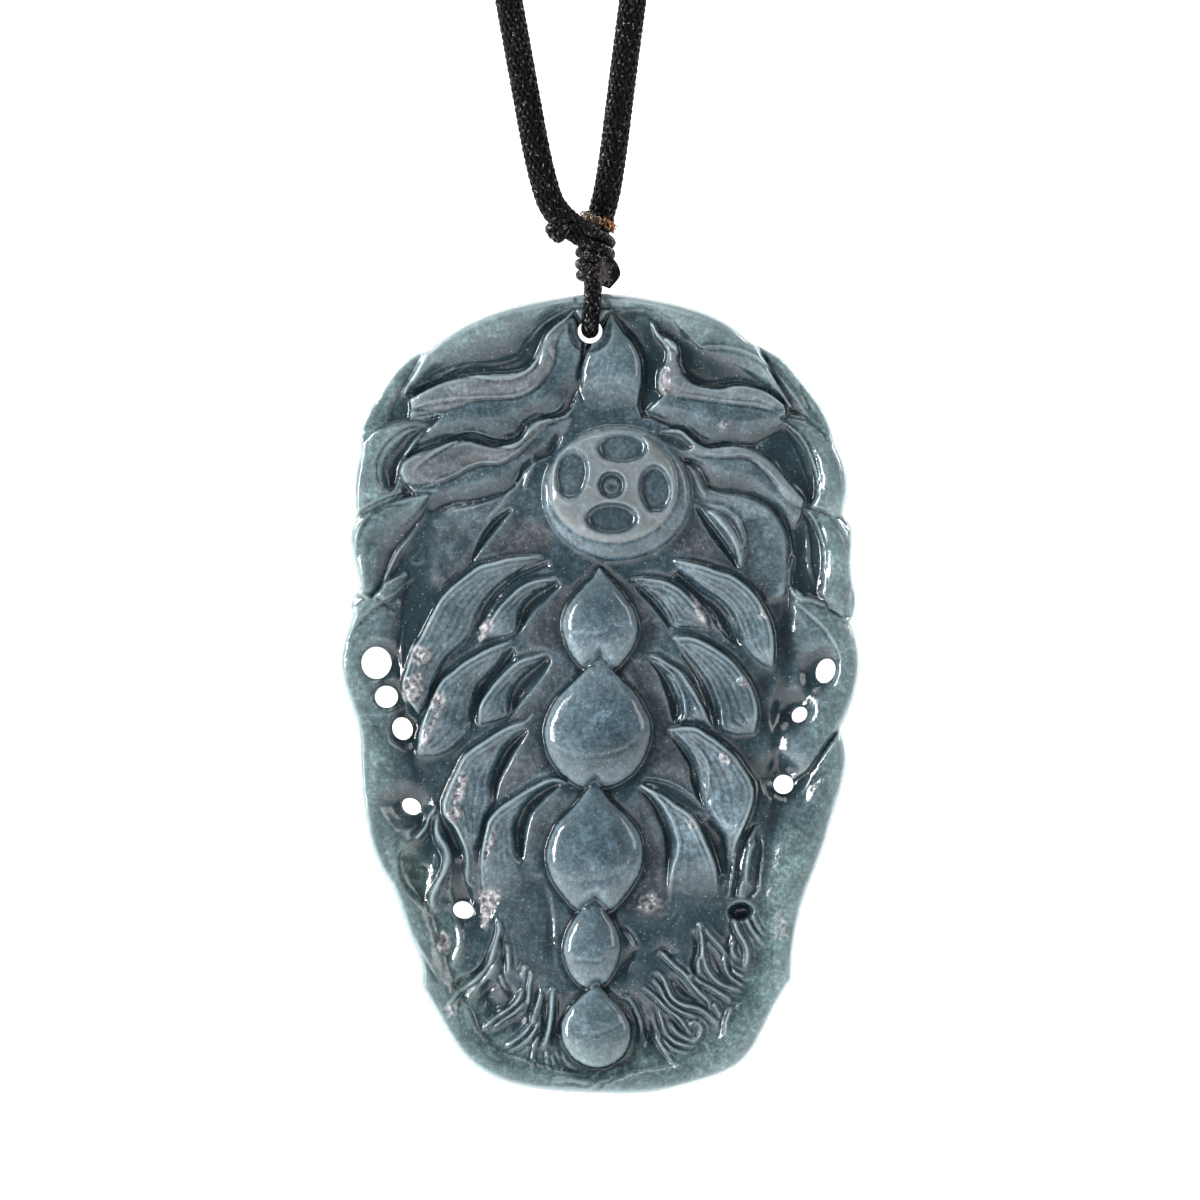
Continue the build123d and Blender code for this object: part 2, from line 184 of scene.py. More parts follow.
def tubes(name, lines, up_ways, wide, thick, sides=5):
    """One mesh of many tubes of full size wide by thick, each along a line with its up ways."""
    verts, faces, along, cross, tone = [], [], [], [], []
    start = 0
    for k, (line, up_way) in enumerate(zip(lines, up_ways)):
        m = len(line)
        t = unit(np.gradient(line, axis=0))
        side = unit(np.cross(t, up_way))
        up = unit(np.cross(side, t))
        ring = [line + side * wide / 2 * math.cos(a) + up * thick / 2 * math.sin(a)
                for a in [math.pi * (2 * j / sides - 0.5) for j in range(sides)]]
        verts.append(np.stack(ring, 1).reshape(-1, 3))
        along.append(np.repeat(lengths(line), sides))
        cross.append(np.tile(np.arange(sides) / sides, m))
        tone.append(np.full(m * sides, (k * EVEN_SPREAD) % 1.0))
        i = np.arange(m - 1)[:, None] * sides
        j = np.arange(sides)[None, :]
        j2 = (j + 1) % sides
        quad = np.stack([i + j, i + j2, i + sides + j2, i + sides + j], -1).reshape(-1, 4) + start
        faces.extend(quad.tolist())
        faces.append([start + x for x in range(sides)][::-1])
        faces.append([start + (m - 1) * sides + x for x in range(sides)])
        start += m * sides
    data = {"along": np.concatenate(along), "cross": np.concatenate(cross), "tone": np.concatenate(tone)}
    return make_object(name, np.vstack(verts), faces, data)


def braid_lines(path, strands, pitch, hand, half_n, half_b, wave, side=(0.0, -1.0, 0.0)):
    """Centre lines of one hand's strands in a diamond braid over a line, and their outward ways."""
    path = np.asarray(path, float)
    _, n, b = carried_frames(path, side)
    run = lengths(path)
    lift = hand * wave * np.cos(strands * TURN * run / pitch)
    lines, ups = [], []
    for k in range(strands):
        angle = hand * TURN * run / pitch + TURN * k / strands
        ups.append(np.cos(angle)[:, None] * n + np.sin(angle)[:, None] * b)
        lines.append(path + (np.cos(angle) * (half_n + lift))[:, None] * n
                     + (np.sin(angle) * (half_b + lift))[:, None] * b)
    return lines, ups


# Braided cover of the neck cord: finer steps where the camera looks, near both ends
COVER_STRANDS, COVER_PITCH = 14, 19.0
STRAND_WIDE, STRAND_THICK, STRAND_WAVE, STRAND_SIDES = 0.56, 0.28, 0.085, 4
NEAR, FINE, COARSE = 31.0, 0.2, 0.45
cord_run = lengths(cord_points)[-1]
stations = np.concatenate([np.arange(0, NEAR, FINE), np.arange(NEAR, cord_run - NEAR, COARSE),
                           np.arange(cord_run - NEAR, cord_run - 1e-6, FINE), [cord_run - 1e-6]])
cover_path = resample(cord_points, stations)
cover_reach = CORD_DIAMETER / MM / 2 + 0.02 - STRAND_WAVE - STRAND_THICK / 2
covers = []
for name, hand in (("neck_cord_cover_s", 1), ("neck_cord_cover_z", -1)):
    lines, ups = braid_lines(cover_path, COVER_STRANDS, COVER_PITCH, hand,
                             cover_reach, cover_reach, STRAND_WAVE)
    covers.append(tubes(name, lines, ups, STRAND_WIDE, STRAND_THICK, STRAND_SIDES))

# Edge of the stone and of its holes, from the CAD solid cut at mid-thickness
SHIFT_X, SHIFT_Z = 4.0, -315.77
RIM_STEP, HOLE_STEP = 0.2, 0.12


def section_loops(node):
    """Closed loops of a node at y = 0, in squares of the carving."""
    bm = bmesh.new()
    bm.from_mesh(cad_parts[node].data)
    bmesh.ops.remove_doubles(bm, verts=bm.verts, dist=1e-6)
    cut = bmesh.ops.bisect_plane(bm, geom=bm.verts[:] + bm.edges[:] + bm.faces[:], plane_co=(0, 0, 0),
                                 plane_no=(0, 1, 0), clear_inner=True, clear_outer=True)
    links = {}
    for e in cut["geom_cut"]:
        if isinstance(e, bmesh.types.BMEdge):
            a, b = e.verts
            links.setdefault(a, []).append(b)
            links.setdefault(b, []).append(a)
    loops, seen = [], set()
    for first in links:
        if first in seen:
            continue
        loop, here, before = [], first, None
        while here not in seen:
            seen.add(here)
            loop.append((here.co.x / MM - SHIFT_X, here.co.z / MM - SHIFT_Z))
            ways = [v for v in links[here] if v is not before and v not in seen]
            if not ways:
                break
            before, here = here, ways[0]
        loops.append(np.array(loop))
    bm.free()
    return sorted(loops, key=lambda p: -np.ptp(p[:, 0]))


def area(ring):
    x, y = ring[:, 0], ring[:, 1]
    return 0.5 * np.sum(x * np.roll(y, -1) - y * np.roll(x, -1))


stone_loops = []
for number, ring in enumerate(section_loops("pendant")):
    if len(ring) < 8:
        continue
    if area(ring) < 0:
        ring = ring[::-1]
    stone_loops.append(resample(ring, RIM_STEP if number == 0 else HOLE_STEP, close=True))
RIM = stone_loops[0]

# Relief of the stone, painted on squares of the carving: across and up, in millimetres
GRID = 0.1
LEFT, RIGHT, FOOT, TOP = -27.5, 27.5, -51.0, 32.0
UU, VV = np.meshgrid(np.arange(LEFT, RIGHT + GRID / 2, GRID), np.arange(FOOT, TOP + GRID / 2, GRID))
H, WARM, CHIP_AND_GLARE, DISC_PALE_AND_SHADE = (np.zeros(UU.shape) for _ in range(4))


def closed(points, step=0.3):
    """A smooth closed outline through a few points."""
    p = pairs(points) if isinstance(points, str) else list(points)
    ring = smooth([p[-2], p[-1]] + p + [p[0], p[1]], step)
    # drops the helper runs at both ends
    start = np.argmin(np.linalg.norm(ring - np.array(p[0]), axis=1))
    far = len(ring) - 1 - np.argmin(np.linalg.norm(ring[::-1] - np.array(p[0]), axis=1))
    return ring[start:far + 1] if far > start else ring


def window(points, margin=0.5):
    """Slices of the squares round some points."""
    lo, hi = points.min(0) - margin, points.max(0) + margin
    c0 = max(0, int((lo[0] - LEFT) / GRID))
    c1 = min(UU.shape[1], int((hi[0] - LEFT) / GRID) + 2)
    r0 = max(0, int((lo[1] - FOOT) / GRID))
    r1 = min(UU.shape[0], int((hi[1] - FOOT) / GRID) + 2)
    return slice(r0, r1), slice(c0, c1)


def reach(line, w):
    """Distance to a line, how far along it, and on which side (plus is left of its way)."""
    u, v = UU[w], VV[w]
    best, along, side = np.full(u.shape, 1e9), np.zeros(u.shape), np.zeros(u.shape)
    steps = np.linalg.norm(np.diff(line, axis=0), axis=1)
    starts = lengths(line)
    for i, ((ax, ay), (bx, by)) in enumerate(zip(line[:-1], line[1:])):
        dx, dy = bx - ax, by - ay
        square = dx * dx + dy * dy
        if square < 1e-12:
            continue
        t = np.clip(((u - ax) * dx + (v - ay) * dy) / square, 0, 1)
        ex, ey = u - ax - t * dx, v - ay - t * dy
        d = ex * ex + ey * ey
        near = d < best
        best = np.where(near, d, best)
        along = np.where(near, starts[i] + t * steps[i], along)
        side = np.where(near, np.sign(dx * ey - dy * ex), side)
    return np.sqrt(best), along / starts[-1], side


def in_ring(ring, u, v):
    """Which of some places are inside a loop."""
    odd = np.zeros(u.shape, bool)
    for (ax, ay), (bx, by) in zip(ring, np.roll(ring, -1, axis=0)):
        if ay != by:
            odd ^= ((ay > v) != (by > v)) & (u < (bx - ax) * (v - ay) / (by - ay) + ax)
    return odd


def inside(ring, w):
    return in_ring(ring, UU[w], VV[w])


def blur(field, size):
    """Gaussian blur, size in millimetres."""
    half = max(1, int(3 * size / GRID))
    k = np.exp(-0.5 * (np.arange(-half, half + 1) * GRID / size) ** 2)
    k /= k.sum()

    def run(m):
        return np.convolve(np.pad(m, half, mode="edge"), k, "valid")

    return np.apply_along_axis(run, 1, np.apply_along_axis(run, 0, field))


def strip(line_a, line_b, profile, full=0.0, foot=None, warm=None, fade=0.0, soft=0.0):
    """Lays a surface between two lines; profile holds shares of the way from a to b, and heights."""
    a, b = smooth(line_a), smooth(line_b)
    ring = np.vstack([a, b[::-1]])
    w = window(ring)
    mask = inside(ring, w)
    (da, along, _), db = reach(a, w), reach(b, w)[0]
    shares, heights = zip(*pairs(profile) if isinstance(profile, str) else profile)
    h = np.interp(da / (da + db + 1e-9), shares, heights)
    if full:
        foot = min(heights) if foot is None else foot
        h = foot + (h - foot) * np.clip((da + db) / full, 0, 1) ** 0.6
    if fade:
        h = H[w] + (h - H[w]) * np.clip((1 - along) / fade, 0, 1)
    if soft:
        share = np.clip(reach(np.vstack([ring, ring[:1]]), w)[0] / soft, 0, 1)
        h = H[w] + (h - H[w]) * share * share * (3 - 2 * share)
    H[w] = np.where(mask, h, H[w])
    if warm is not None:
        WARM[w] = np.where(mask, warm, WARM[w])


def inflate(mask):
    """A rounded body over a mask: 0 at its edge and 1 at its highest, found on coarse squares first."""
    field = None
    for factor, rounds in ((8, 60), (4, 60), (2, 60), (1, 40)):
        m = mask[::factor, ::factor]
        if field is None:
            field = np.zeros(m.shape)
        else:
            field = np.repeat(np.repeat(field, 2, 0), 2, 1)[:m.shape[0], :m.shape[1]]
            field = np.pad(field, ((0, m.shape[0] - field.shape[0]), (0, m.shape[1] - field.shape[1])))
        h2 = (factor * GRID) ** 2
        for _ in range(rounds):
            p = np.pad(field, 1)
            field = (p[:-2, 1:-1] + p[2:, 1:-1] + p[1:-1, :-2] + p[1:-1, 2:] + h2) / 4
            field *= m
    return field / max(field.max(), 1e-9)


def bulge(ring, foot, top, power=0.5):
    """A rounded body inside an outline, which is a line of text or a ready ring."""
    ring = closed(ring) if isinstance(ring, str) else np.array(ring)
    w = window(ring)
    mask = inside(ring, w)
    H[w] = np.where(mask, foot + (top - foot) * inflate(mask) ** power, H[w])


def taper(along, ends):
    """1 along a line, and less in these shares of it at its ends."""
    k = np.ones(along.shape)
    if ends[0]:
        k = k * np.clip(along / ends[0], 0, 1)
    if ends[1]:
        k = k * np.clip((1 - along) / ends[1], 0, 1)
    return k ** 0.7


def groove(line, width, depth, ends=(0.2, 0.2)):
    """Cuts a rounded groove along a line."""
    a = smooth(line)
    w = window(a, 3 * width)
    d, along, _ = reach(a, w)
    H[w] -= depth * np.exp(-(d / width) ** 2) * taper(along, ends)


def ridge(line, width, rise, ends=(0.2, 0.2)):
    groove(line, width, -rise, ends)


def ledge(line, width, rise, ends):
    """Raises the ground on the left of a line, sharply at the line and fading away from it."""
    a = smooth(line)
    w = window(a, 3 * width)
    d, along, side = reach(a, w)
    H[w] += rise * np.where(side > 0, np.exp(-(d / width) ** 1.3), 0) * taper(along, ends)


def left_of(line):
    """Unit ways to the left at the points of a line."""
    t = np.gradient(line, axis=0)
    t /= np.linalg.norm(t, axis=1, keepdims=True)
    return np.column_stack([-t[:, 1], t[:, 0]])


def beside(line, gap):
    """The smoothed line moved to its left by a gap."""
    line = smooth(line)
    return (line + gap * left_of(line))[::2]


LEAF = pairs("""0,0.55 0.05,0.95 0.1,1 0.3,0.92 0.4,0.84 0.435,0.66 0.47,0.8 0.56,0.7 0.6,0.54 0.64,0.68
    0.74,0.58 0.78,0.44 0.82,0.55 0.9,0.35 1,0""")


def leaf(outer, inner, high, low, fade=0.0):
    """A curved leaf, high at its outer line, with fine lines along it and a cut outline outside."""
    strip(outer, inner, [(t, low + (high - low) * k) for t, k in LEAF], 2.2, low + 0.3, fade=fade)
    line = smooth(outer)
    out = left_of(line)
    middle = len(line) // 2
    if out[middle] @ (line[middle] - np.array(pairs(inner)).mean(0)) < 0:
        out = -out
    groove((line + 0.14 * out)[::2], 0.13, 0.36, (0.08, max(0.12, fade)))
    groove((line + 0.5 * out)[::2], 0.11, 0.22, (0.15, max(0.25, fade)))
    groove((line - 0.42 * out)[::2], 0.10, 0.26, (0.08, max(0.2, fade)))
    ridge((line - 0.18 * out)[::2], 0.11, 0.14, (0.08, max(0.2, fade)))
    groove((line - 0.95 * out)[4:-8:2], 0.10, 0.20, (0.3, max(0.35, fade)))


def crisp(line, depth=0.28, width=0.12, gap=0.27):
    """A thin cut line with a thin crest on the left of its way."""
    groove(smooth(line)[::2], width, depth, (0.08, 0.08))
    ridge(beside(line, gap), width, 0.7 * depth, (0.08, 0.08))


def scoop(line_a, line_b, deep):
    """A dark crescent hollow between two lines."""
    strip(line_a, line_b, ((0, deep + 0.7), (0.2, deep + 0.25), (0.5, deep + 0.2), (0.75, deep + 0.35),
                           (0.93, deep + 0.7), (1, deep + 1.0)), full=0.9, foot=1.7)


def chip_and_glare(outline):
    """A rough, pale broken place; its pale colour is partly painted glare."""
    ring = closed(outline, 0.15)
    w = window(ring, 0.6)
    d = reach(ring, w)[0]
    share = np.clip(np.where(inside(ring, w), d, -d) / 0.25 + 0.5, 0, 1)
    CHIP_AND_GLARE[w] = np.maximum(CHIP_AND_GLARE[w], share)
    H[w] -= share * 0.25 * ROUGH[w]


def oval(cx, cy, wide, high, tilt=0):
    """How far out each square is from an oval's middle: 1 on its line."""
    ca, sa = np.cos(np.radians(tilt)), np.sin(np.radians(tilt))
    x, y = UU - cx, VV - cy
    return np.hypot((x * ca + y * sa) / (wide / 2), (-x * sa + y * ca) / (high / 2))


def around(cu, cv, half_wide, half_high, count):
    """Points round an upright oval."""
    t = np.linspace(0, TURN, count, endpoint=False)
    return np.column_stack([cu + half_wide * np.cos(t), cv + half_high * np.sin(t)])


# Uneven surface left by hand work
seeded = np.random.default_rng(5)
ROUGH = blur(seeded.standard_normal(UU.shape), 0.12)
ROUGH /= ROUGH.std()
UNEVEN = blur(seeded.standard_normal(UU.shape), 0.55)
UNEVEN /= UNEVEN.std()

# Ground, a little higher away from the edge
whole = (slice(0, UU.shape[0]), slice(0, UU.shape[1]))
solid = inside(RIM, whole)
edge = np.where(solid, reach(np.vstack([RIM, RIM[:1]]), whole)[0], 0)
H[:] = 1.15 + 0.75 * (1 - np.exp(-(edge / 9) ** 2))

# rear layers that show beside the lobes
strip("-24.1,15.4 -24,17.3 -22,21 -20,23.6 -17.4,25.1",
      "-20.5,17.8 -20.5,19.5 -19.6,21 -18.5,22.8 -17.3,24.9", "0,1.2 0.3,1.5 0.7,1.5 1,1")
strip("15,26.2 17,25 18.7,23.9 20.2,22 22.8,18.4 23.7,15.6",
      "15.1,26.1 16.5,24.3 17.5,22 18.8,19.8 20.5,18.2 22,16.8", "0,1.2 0.3,1.6 0.8,1.6 1,1.2")

# crown
strip("-19.7,20.8 -18.6,22.8 -17.4,25 -15,27 -12.5,28.2 -10,29.1 -5,30.3 -1.5,30.8 1.2,30.8",
      "-19.6,20.4 -17,22.4 -15,23.2 -12,23.4 -10,23.7 -8,24.5 -7,26 -5.6,27.8 -3.5,29.2 1.1,29.2",
      "0,1.9 0.08,2.4 0.28,2.5 0.6,2 0.88,1.35 1,1.2")
strip("-19.6,20.4 -17,22.4 -15,23.2 -12,23.4 -10,23.7 -8,24.5 -7,26 -5.6,27.8 -2.7,29.5",
      """-19,20.1 -17,21.2 -15,22 -12.5,22.5 -9,22.7 -7.5,23 -6.5,24 -6,25 -5.5,26.3 -4.8,27.2 -3.5,28.2
         -2.5,29.2""", "0,1.5 0.3,1.35 1,0.85")
strip("1.1,30.8 3,30.5 6,30.05 10,29 12.5,28 15,26.1 16.6,24 17.8,21.6 19.3,19.2",
      "1.1,29.2 4.5,29.2 7,28.3 8,27.3 9.2,26 10.5,25 12.5,24.2 14,23.4 15.5,22.5 17.5,21 18.8,19.4",
      "0,1.9 0.1,2.4 0.3,2.45 0.7,2.05 1,1.75")
strip("4.5,29.2 7,28.3 8,27.3 9.2,26 10.5,25 12.5,24.2 14,23.4 15.5,22.5 17.5,21 18.5,20",
      """5.2,27.9 5.8,26.8 6.5,26.3 7.5,25.8 7.8,25 7.8,23.8 8.2,22.7 9,21.9 10,21.4 12,21.2 14,21.5 16.5,20.9
         18.3,19.8""", "0,1.65 0.15,1.4 0.7,1.15 1,0.9")
# ground on both sides of the top drop
strip("-1.2,26.2 -2.4,29", "1.1,28.9 4.2,29.2", "0,1.9 1,1.9")
strip("1.1,29 4.8,29.2 5.2,27.9 5.8,26.6 6.6,25.2 6.6,24 5.8,22.7 5.8,21.2 6.6,20.2 7.2,18.5",
      "0.8,28 2.2,26.8 3.2,25.8 3.9,24.5 4.1,23.2 4,21 3.8,19.5 4.2,18.2", "0,1.25 0.5,1.3 1,1")

# upper left strands, edges from the top down
A = pairs("""-19,20.1 -17,21.2 -15,22 -12.5,22.5 -9,22.7 -7.5,23 -6.5,24 -6,25 -5.5,26.3 -4.8,27.2 -3.5,28.2
   -2.5,29.2""")
B = pairs("""-18.8,19.2 -16,19 -14.5,19.3 -12,20.05 -8.5,20.3 -6.5,21.2 -5.2,22.7 -4.6,24 -4.5,25.5 -3.6,27.4
   -2.5,29""")
C = pairs("""-20.3,13.2 -19,14.3 -17,15.1 -15,15.8 -13.5,16 -12,15.6 -10.5,15.3 -9,15.6 -7.8,16.2 -7.3,17.2
   -6.5,17.9 -5.5,18.1 -4,18.3 -3,19 -2.3,20.7""")
D = pairs("""-19.4,11.6 -16,11.9 -14.5,12.5 -13,13.1 -12,13.6 -10,13.7 -8,14.6 -7.1,15.5 -6.2,16.6 -5,17.4
   -3.2,18.2""")
E = pairs("-16.8,8.6 -15,9.6 -12,9.9 -9.5,10.7 -8.5,11.4 -8,12.2 -7.4,13.2 -6.2,14 -4.8,14.6")
strip(B[:-1] + [(-2.6, 28.2), (-1.8, 26.0)], C, "0,1.9 0.1,2.25 0.4,2.2 0.75,1.75 1,1")
strip(A, B, "0,2.25 0.1,2.7 0.5,2.7 0.85,2.45 1,2.3", full=1.6, foot=1.7, warm=0.7)
strip(D + [(-2.6, 18.6)], E + [(-4.0, 16.0)], "0,1.85 0.1,2.1 0.45,2 0.8,1.5 1,0.95")
strip(C, D, "0,2.15 0.1,2.6 0.5,2.6 0.85,2.35 1,2.2", full=1.6, foot=1.5, warm=0.8)

# upper right strands, edges from the top down
A2 = pairs("""5.2,27.9 5.8,26.8 6.5,26.3 7.5,25.8 7.8,25 7.8,23.8 8.2,22.7 9,21.9 10,21.4 12,21.1 14,21.5
   16.5,20.9 18.4,19.6""")
B2 = pairs("""5.2,27.7 5.6,26.4 6.6,25.2 6.7,24 6,22.7 5.9,21.3 6.5,20.5 8.5,20.4 10,20.1 12,19.9 16,19.3
   18.6,18.9""")
C2 = pairs("5,16.8 6.3,16.9 7.5,17.1 8.3,16.9 9,16.3 9.8,15.7 11,15.2 13,15.4 15,15.2 17,14 18.8,11.9 20.4,10")
D2 = pairs("5.2,16.7 6.8,15.6 8.5,14.9 9.7,14.6 12.5,14.3 14,14.4 15.5,14 16.5,13 17.5,11.5 19,9.8 20.2,9.2")
E2 = pairs("7.6,14 9,13.7 9.8,13.4 10.3,12.5 10.8,11.4 12,11 14,10.8 16,10.2 17.5,9.2 18.6,7.6 19.2,5.8")
strip(B2[6:], [(4.2, 18.6)] + C2[2:9] + [(18.3, 17.2)], "0,2.1 0.1,2.25 0.4,2.15 0.75,1.7 1,1")
strip(A2, B2, "0,2.25 0.1,2.65 0.5,2.65 0.85,2.4 1,2.3", full=1.6, foot=1.6, warm=0.55)
strip(D2, E2 + [(19.8, 6.5)], "0,1.85 0.1,2.1 0.45,2 0.8,1.5 1,0.95")
strip(C2, D2, "0,2.15 0.1,2.55 0.5,2.55 0.85,2.3 1,2.2", full=1.3, foot=1.5, warm=0.5)
# eye-shaped loop beside the disc
strip("5.3,16.7 6.8,15.4 8.5,14.8 9.3,15.2", "5.3,16.8 7.2,17 8.3,16.7 9.2,15.6",
      "0,2.5 0.25,1.7 0.75,1.7 1,2.5")

# ground under the last strands
strip("-17.2,8.4 -15,9.5 -12,9.8 -9.5,10.6 -8.5,11.3 -7.9,12.2 -7.2,13",
      "-17.5,1.2 -15,0.8 -14,1.9 -12.5,3.4 -11.6,5.4 -9.6,8.3 -7.2,12.2",
      "0,2.3 0.12,2.35 0.4,2.1 0.8,1.9 1,1.5", warm=0.3, soft=1.3)
strip("7.6,13.9 9.8,13.2 10.6,11.3 12,10.9 14,10.7 16,10.1 17.6,9 18.9,6.6 19.1,3.2 18.9,0.4",
      "7.7,13.4 8.9,11.6 9.9,9.6 12,7.2 13.9,4.4 14.3,2.6 15.6,0.9 16.3,-0.8",
      "0,2.3 0.12,2.3 0.4,2 0.8,1.8 1,1.5", warm=0.25, soft=0.7)

# flats by the disc
strip("-9.1,8.4 -7,8.2 -5.2,7.2 -4.5,5.4", "-11.9,4.4 -8.5,4.6 -4.6,5", "0,1.9 1,1.8", warm=1.0, soft=0.6)
strip("9.4,8.2 8.2,7.2 7.2,6 6.6,5", "13.2,3.4 10.2,4.2 6.8,4.7", "0,1.9 1,1.8", warm=1.0, soft=0.6)
# dark crescents and the blade beside them
strip("-8.9,9.2 -10.6,8.1 -11.8,6.6 -12.5,5 -12.9,3.7", "-8.8,9 -9.8,7.6 -11.2,5.8 -12.2,4.6 -12.8,3.6",
      "0,1.5 0.3,1.1 0.7,1.2 1,1.8")
strip("9.7,9.4 10.9,8 12.2,6.4 13.2,4.8 13.8,3.3", "9.5,9.2 10.4,7.4 11.6,5.6 12.8,4.2 13.7,3.2",
      "0,1.2 0.5,1.1 1,1.7")
strip("10.6,9.2 12.2,8.6 13.6,7.2 14.3,5.4 14.2,3.4", "10.6,8.9 11.6,7.6 12.8,6 13.5,4.6 13.8,3.3",
      "0,1.9 0.4,2.5 0.75,2.4 1,0.9", full=1.2, foot=1.6)

# ribs, left
leaf("""-5.6,4.5 -8.7,4.3 -10.35,3.9 -11.96,3.5 -12.9,2.87 -13.9,2.1 -15,1.2 -16,0.05 -16.6,-1.07 -17.3,-2.4
        -17.9,-3.65 -18.7,-4.9 -19.3,-6.6 -19.8,-8.6 -19.2,-10 -18.2,-11.4""",
     """-5.8,4.2 -8.1,2.8 -9.55,1.8 -10.7,0.7 -11.5,-0.4 -12.1,-1.55 -12.4,-2.7 -12.9,-3.65 -13.6,-4.6
        -14.9,-5.6 -16,-7.2 -16.8,-9 -17.2,-10.4 -18,-11.5""", 3.0, 1.5)
scoop("-5.2,3.9 -8.1,2.7 -9.6,1.6 -10.7,0.6 -11.5,-0.5 -12.1,-1.7 -12.4,-3.2",
      "-5,3.2 -7.3,2.3 -8.6,1.6 -9.6,0.6 -10.5,-0.6 -11.3,-1.9 -12.2,-3.2", 1.2)
leaf("-4.2,2.3 -5.05,2.2 -6.3,2.05 -7.3,1.7 -8.1,1.25 -9.07,0.4 -10,-0.6 -10.8,-1.7 -11.4,-2.7 -12,-4.1",
     "-4.2,2 -5.5,1.35 -6.3,1 -7.1,0.37 -7.8,-0.4 -8.1,-1.2 -8.2,-2.4 -8.5,-3.5 -10.2,-3.9 -12,-4.3", 2.8,
     1.5)
scoop("-4.4,1.9 -5.5,1.3 -6.3,0.95 -7.1,0.3 -7.8,-0.45 -8.1,-1.3 -8.2,-2.4 -8.4,-3.4",
      "-3.9,1.4 -5,0.3 -5.5,-0.3 -6.3,-0.9 -7,-1.8 -7.8,-2.9 -8.3,-3.5", 0.95)
leaf("""-8.6,-3.95 -10,-4.4 -11.3,-4.9 -12.4,-5.5 -13.6,-6.2 -14.7,-7.1 -15.7,-7.9 -16.3,-8.8 -16.9,-10.1
        -17.5,-11.4 -18.1,-13.2 -18.3,-15.2""",
     """-8.7,-4.3 -9.6,-5.5 -10.35,-6.6 -11.3,-7.7 -12.1,-8.6 -12.4,-9.75 -12.6,-10.9 -12.7,-12.2 -12.9,-13.5
        -14.2,-14.8 -16,-15.6 -18.2,-15.6""", 2.9, 1.4)
scoop("-8.9,-4.6 -10,-6.1 -11.3,-7.8 -12.1,-8.8 -12.5,-10.2 -12.6,-11.4 -12.7,-12.8",
      "-8.2,-5.6 -9.3,-6.8 -10.3,-7.9 -11.2,-9.1 -11.9,-10.4 -12.2,-11.6 -12.6,-12.8", 1.1)
leaf("""-5.3,-5.15 -6.3,-5.5 -7.5,-5.8 -8.4,-6.2 -9.4,-7.1 -10.35,-8.1 -11.3,-9.3 -12,-10.4 -12.2,-11.4
        -12.2,-12.4""",
     """-5.4,-5.5 -5.9,-5.95 -6.8,-6.5 -7.8,-7.3 -8.6,-8.1 -9.07,-9.3 -9.15,-10.6 -8.9,-11.7 -10.4,-12.3
        -12.1,-12.7""", 2.8, 1.4)
scoop("-5.2,-5.5 -5.9,-6 -6.8,-6.6 -7.8,-7.4 -8.6,-8.3 -9.05,-9.4 -9.1,-10.6 -8.9,-11.4",
      "-4.9,-6.2 -5.4,-7.2 -6.1,-8.2 -7.1,-9.4 -8,-10.5 -8.8,-11.5", 0.9)
# flats between the ribs and the drops, left
strip("-3.9,1.3 -5,0.3 -5.5,-0.3 -6.3,-0.9 -7,-1.8 -8.2,-3.6 -7.6,-4.6 -5.2,-5.2",
      "-1.2,2.4 -3.2,-0.2 -4,-2 -4,-3.6 -3,-5.4", "0,1.75 0.1,1.95 0.8,1.8 1,1.4", warm=0.8, soft=0.5)
strip("-4.9,-6.2 -5.4,-7.2 -6.1,-8.2 -7.1,-9.4 -8,-10.5 -8.7,-11.7 -7,-12.3",
      "-3.2,-6 -3.8,-8 -5,-9.7 -5.8,-11.6 -6,-12.6", "0,1.75 0.1,1.95 0.8,1.8 1,1.4", warm=0.7, soft=0.5)
# second and third tiers, left
leaf("""-6.6,-11.2 -7.5,-12.1 -8.6,-12.4 -10,-13.05 -11.4,-13.95 -12.7,-14.8 -13.6,-15.6 -14.1,-16.5 -14.6,-17.6
        -15.2,-18.8 -15.7,-20.2 -15.6,-21.4 -14.6,-22.6 -13.9,-24 -13.4,-25.6 -13.3,-28.2""",
     """-6.8,-11.9 -7.4,-12.7 -8.4,-13.5 -9.3,-14.3 -9.9,-15.1 -10.3,-16.2 -10.7,-17.25 -10.9,-18.1 -10.8,-19.2
        -10.6,-20.6 -11.2,-21.4 -11.6,-22.6 -11.9,-24.2 -12.05,-25.6 -12.1,-28""", 3.1, 1.5, fade=0.2)
scoop("""-7.2,-12.8 -8.4,-13.7 -9.3,-14.5 -9.9,-15.3 -10.3,-16.3 -10.7,-17.4 -10.9,-18.3 -10.8,-19.3
         -10.5,-20.4""", "-7.3,-13.3 -8.2,-14.75 -9.1,-16.4 -9.8,-17.7 -10.2,-18.8 -10.4,-20.2", 0.9)
strip("-7.3,-13.2 -8.2,-14.8 -9.1,-16.4 -9.9,-17.9 -10.3,-19.8",
      "-6,-12.6 -5.6,-14.6 -5.1,-16.4 -7.2,-17.7 -9,-19", "0,1.8 0.08,2 0.9,1.9 1,1.5", warm=0.8, soft=0.5)
leaf("""-3,-18.2 -4.3,-17.8 -5.4,-18 -6.4,-18.5 -7.5,-19.1 -8.6,-19.8 -9.6,-20.4 -10.5,-21.2 -11.2,-22.1
        -11.45,-23.1 -11.7,-24.2 -11.9,-25.3 -12,-26.5 -11.9,-28.4 -11.4,-30.4""",
     """-3,-18.4 -4.8,-18.3 -5.9,-18.8 -7,-19.5 -7.7,-20.3 -8.2,-21.2 -8.6,-22.1 -8.7,-23.3 -8.5,-24.6
        -8.2,-25.5 -7.8,-26.6 -8,-28.4 -8.6,-30.2""", 3.0, 1.7, fade=0.3)
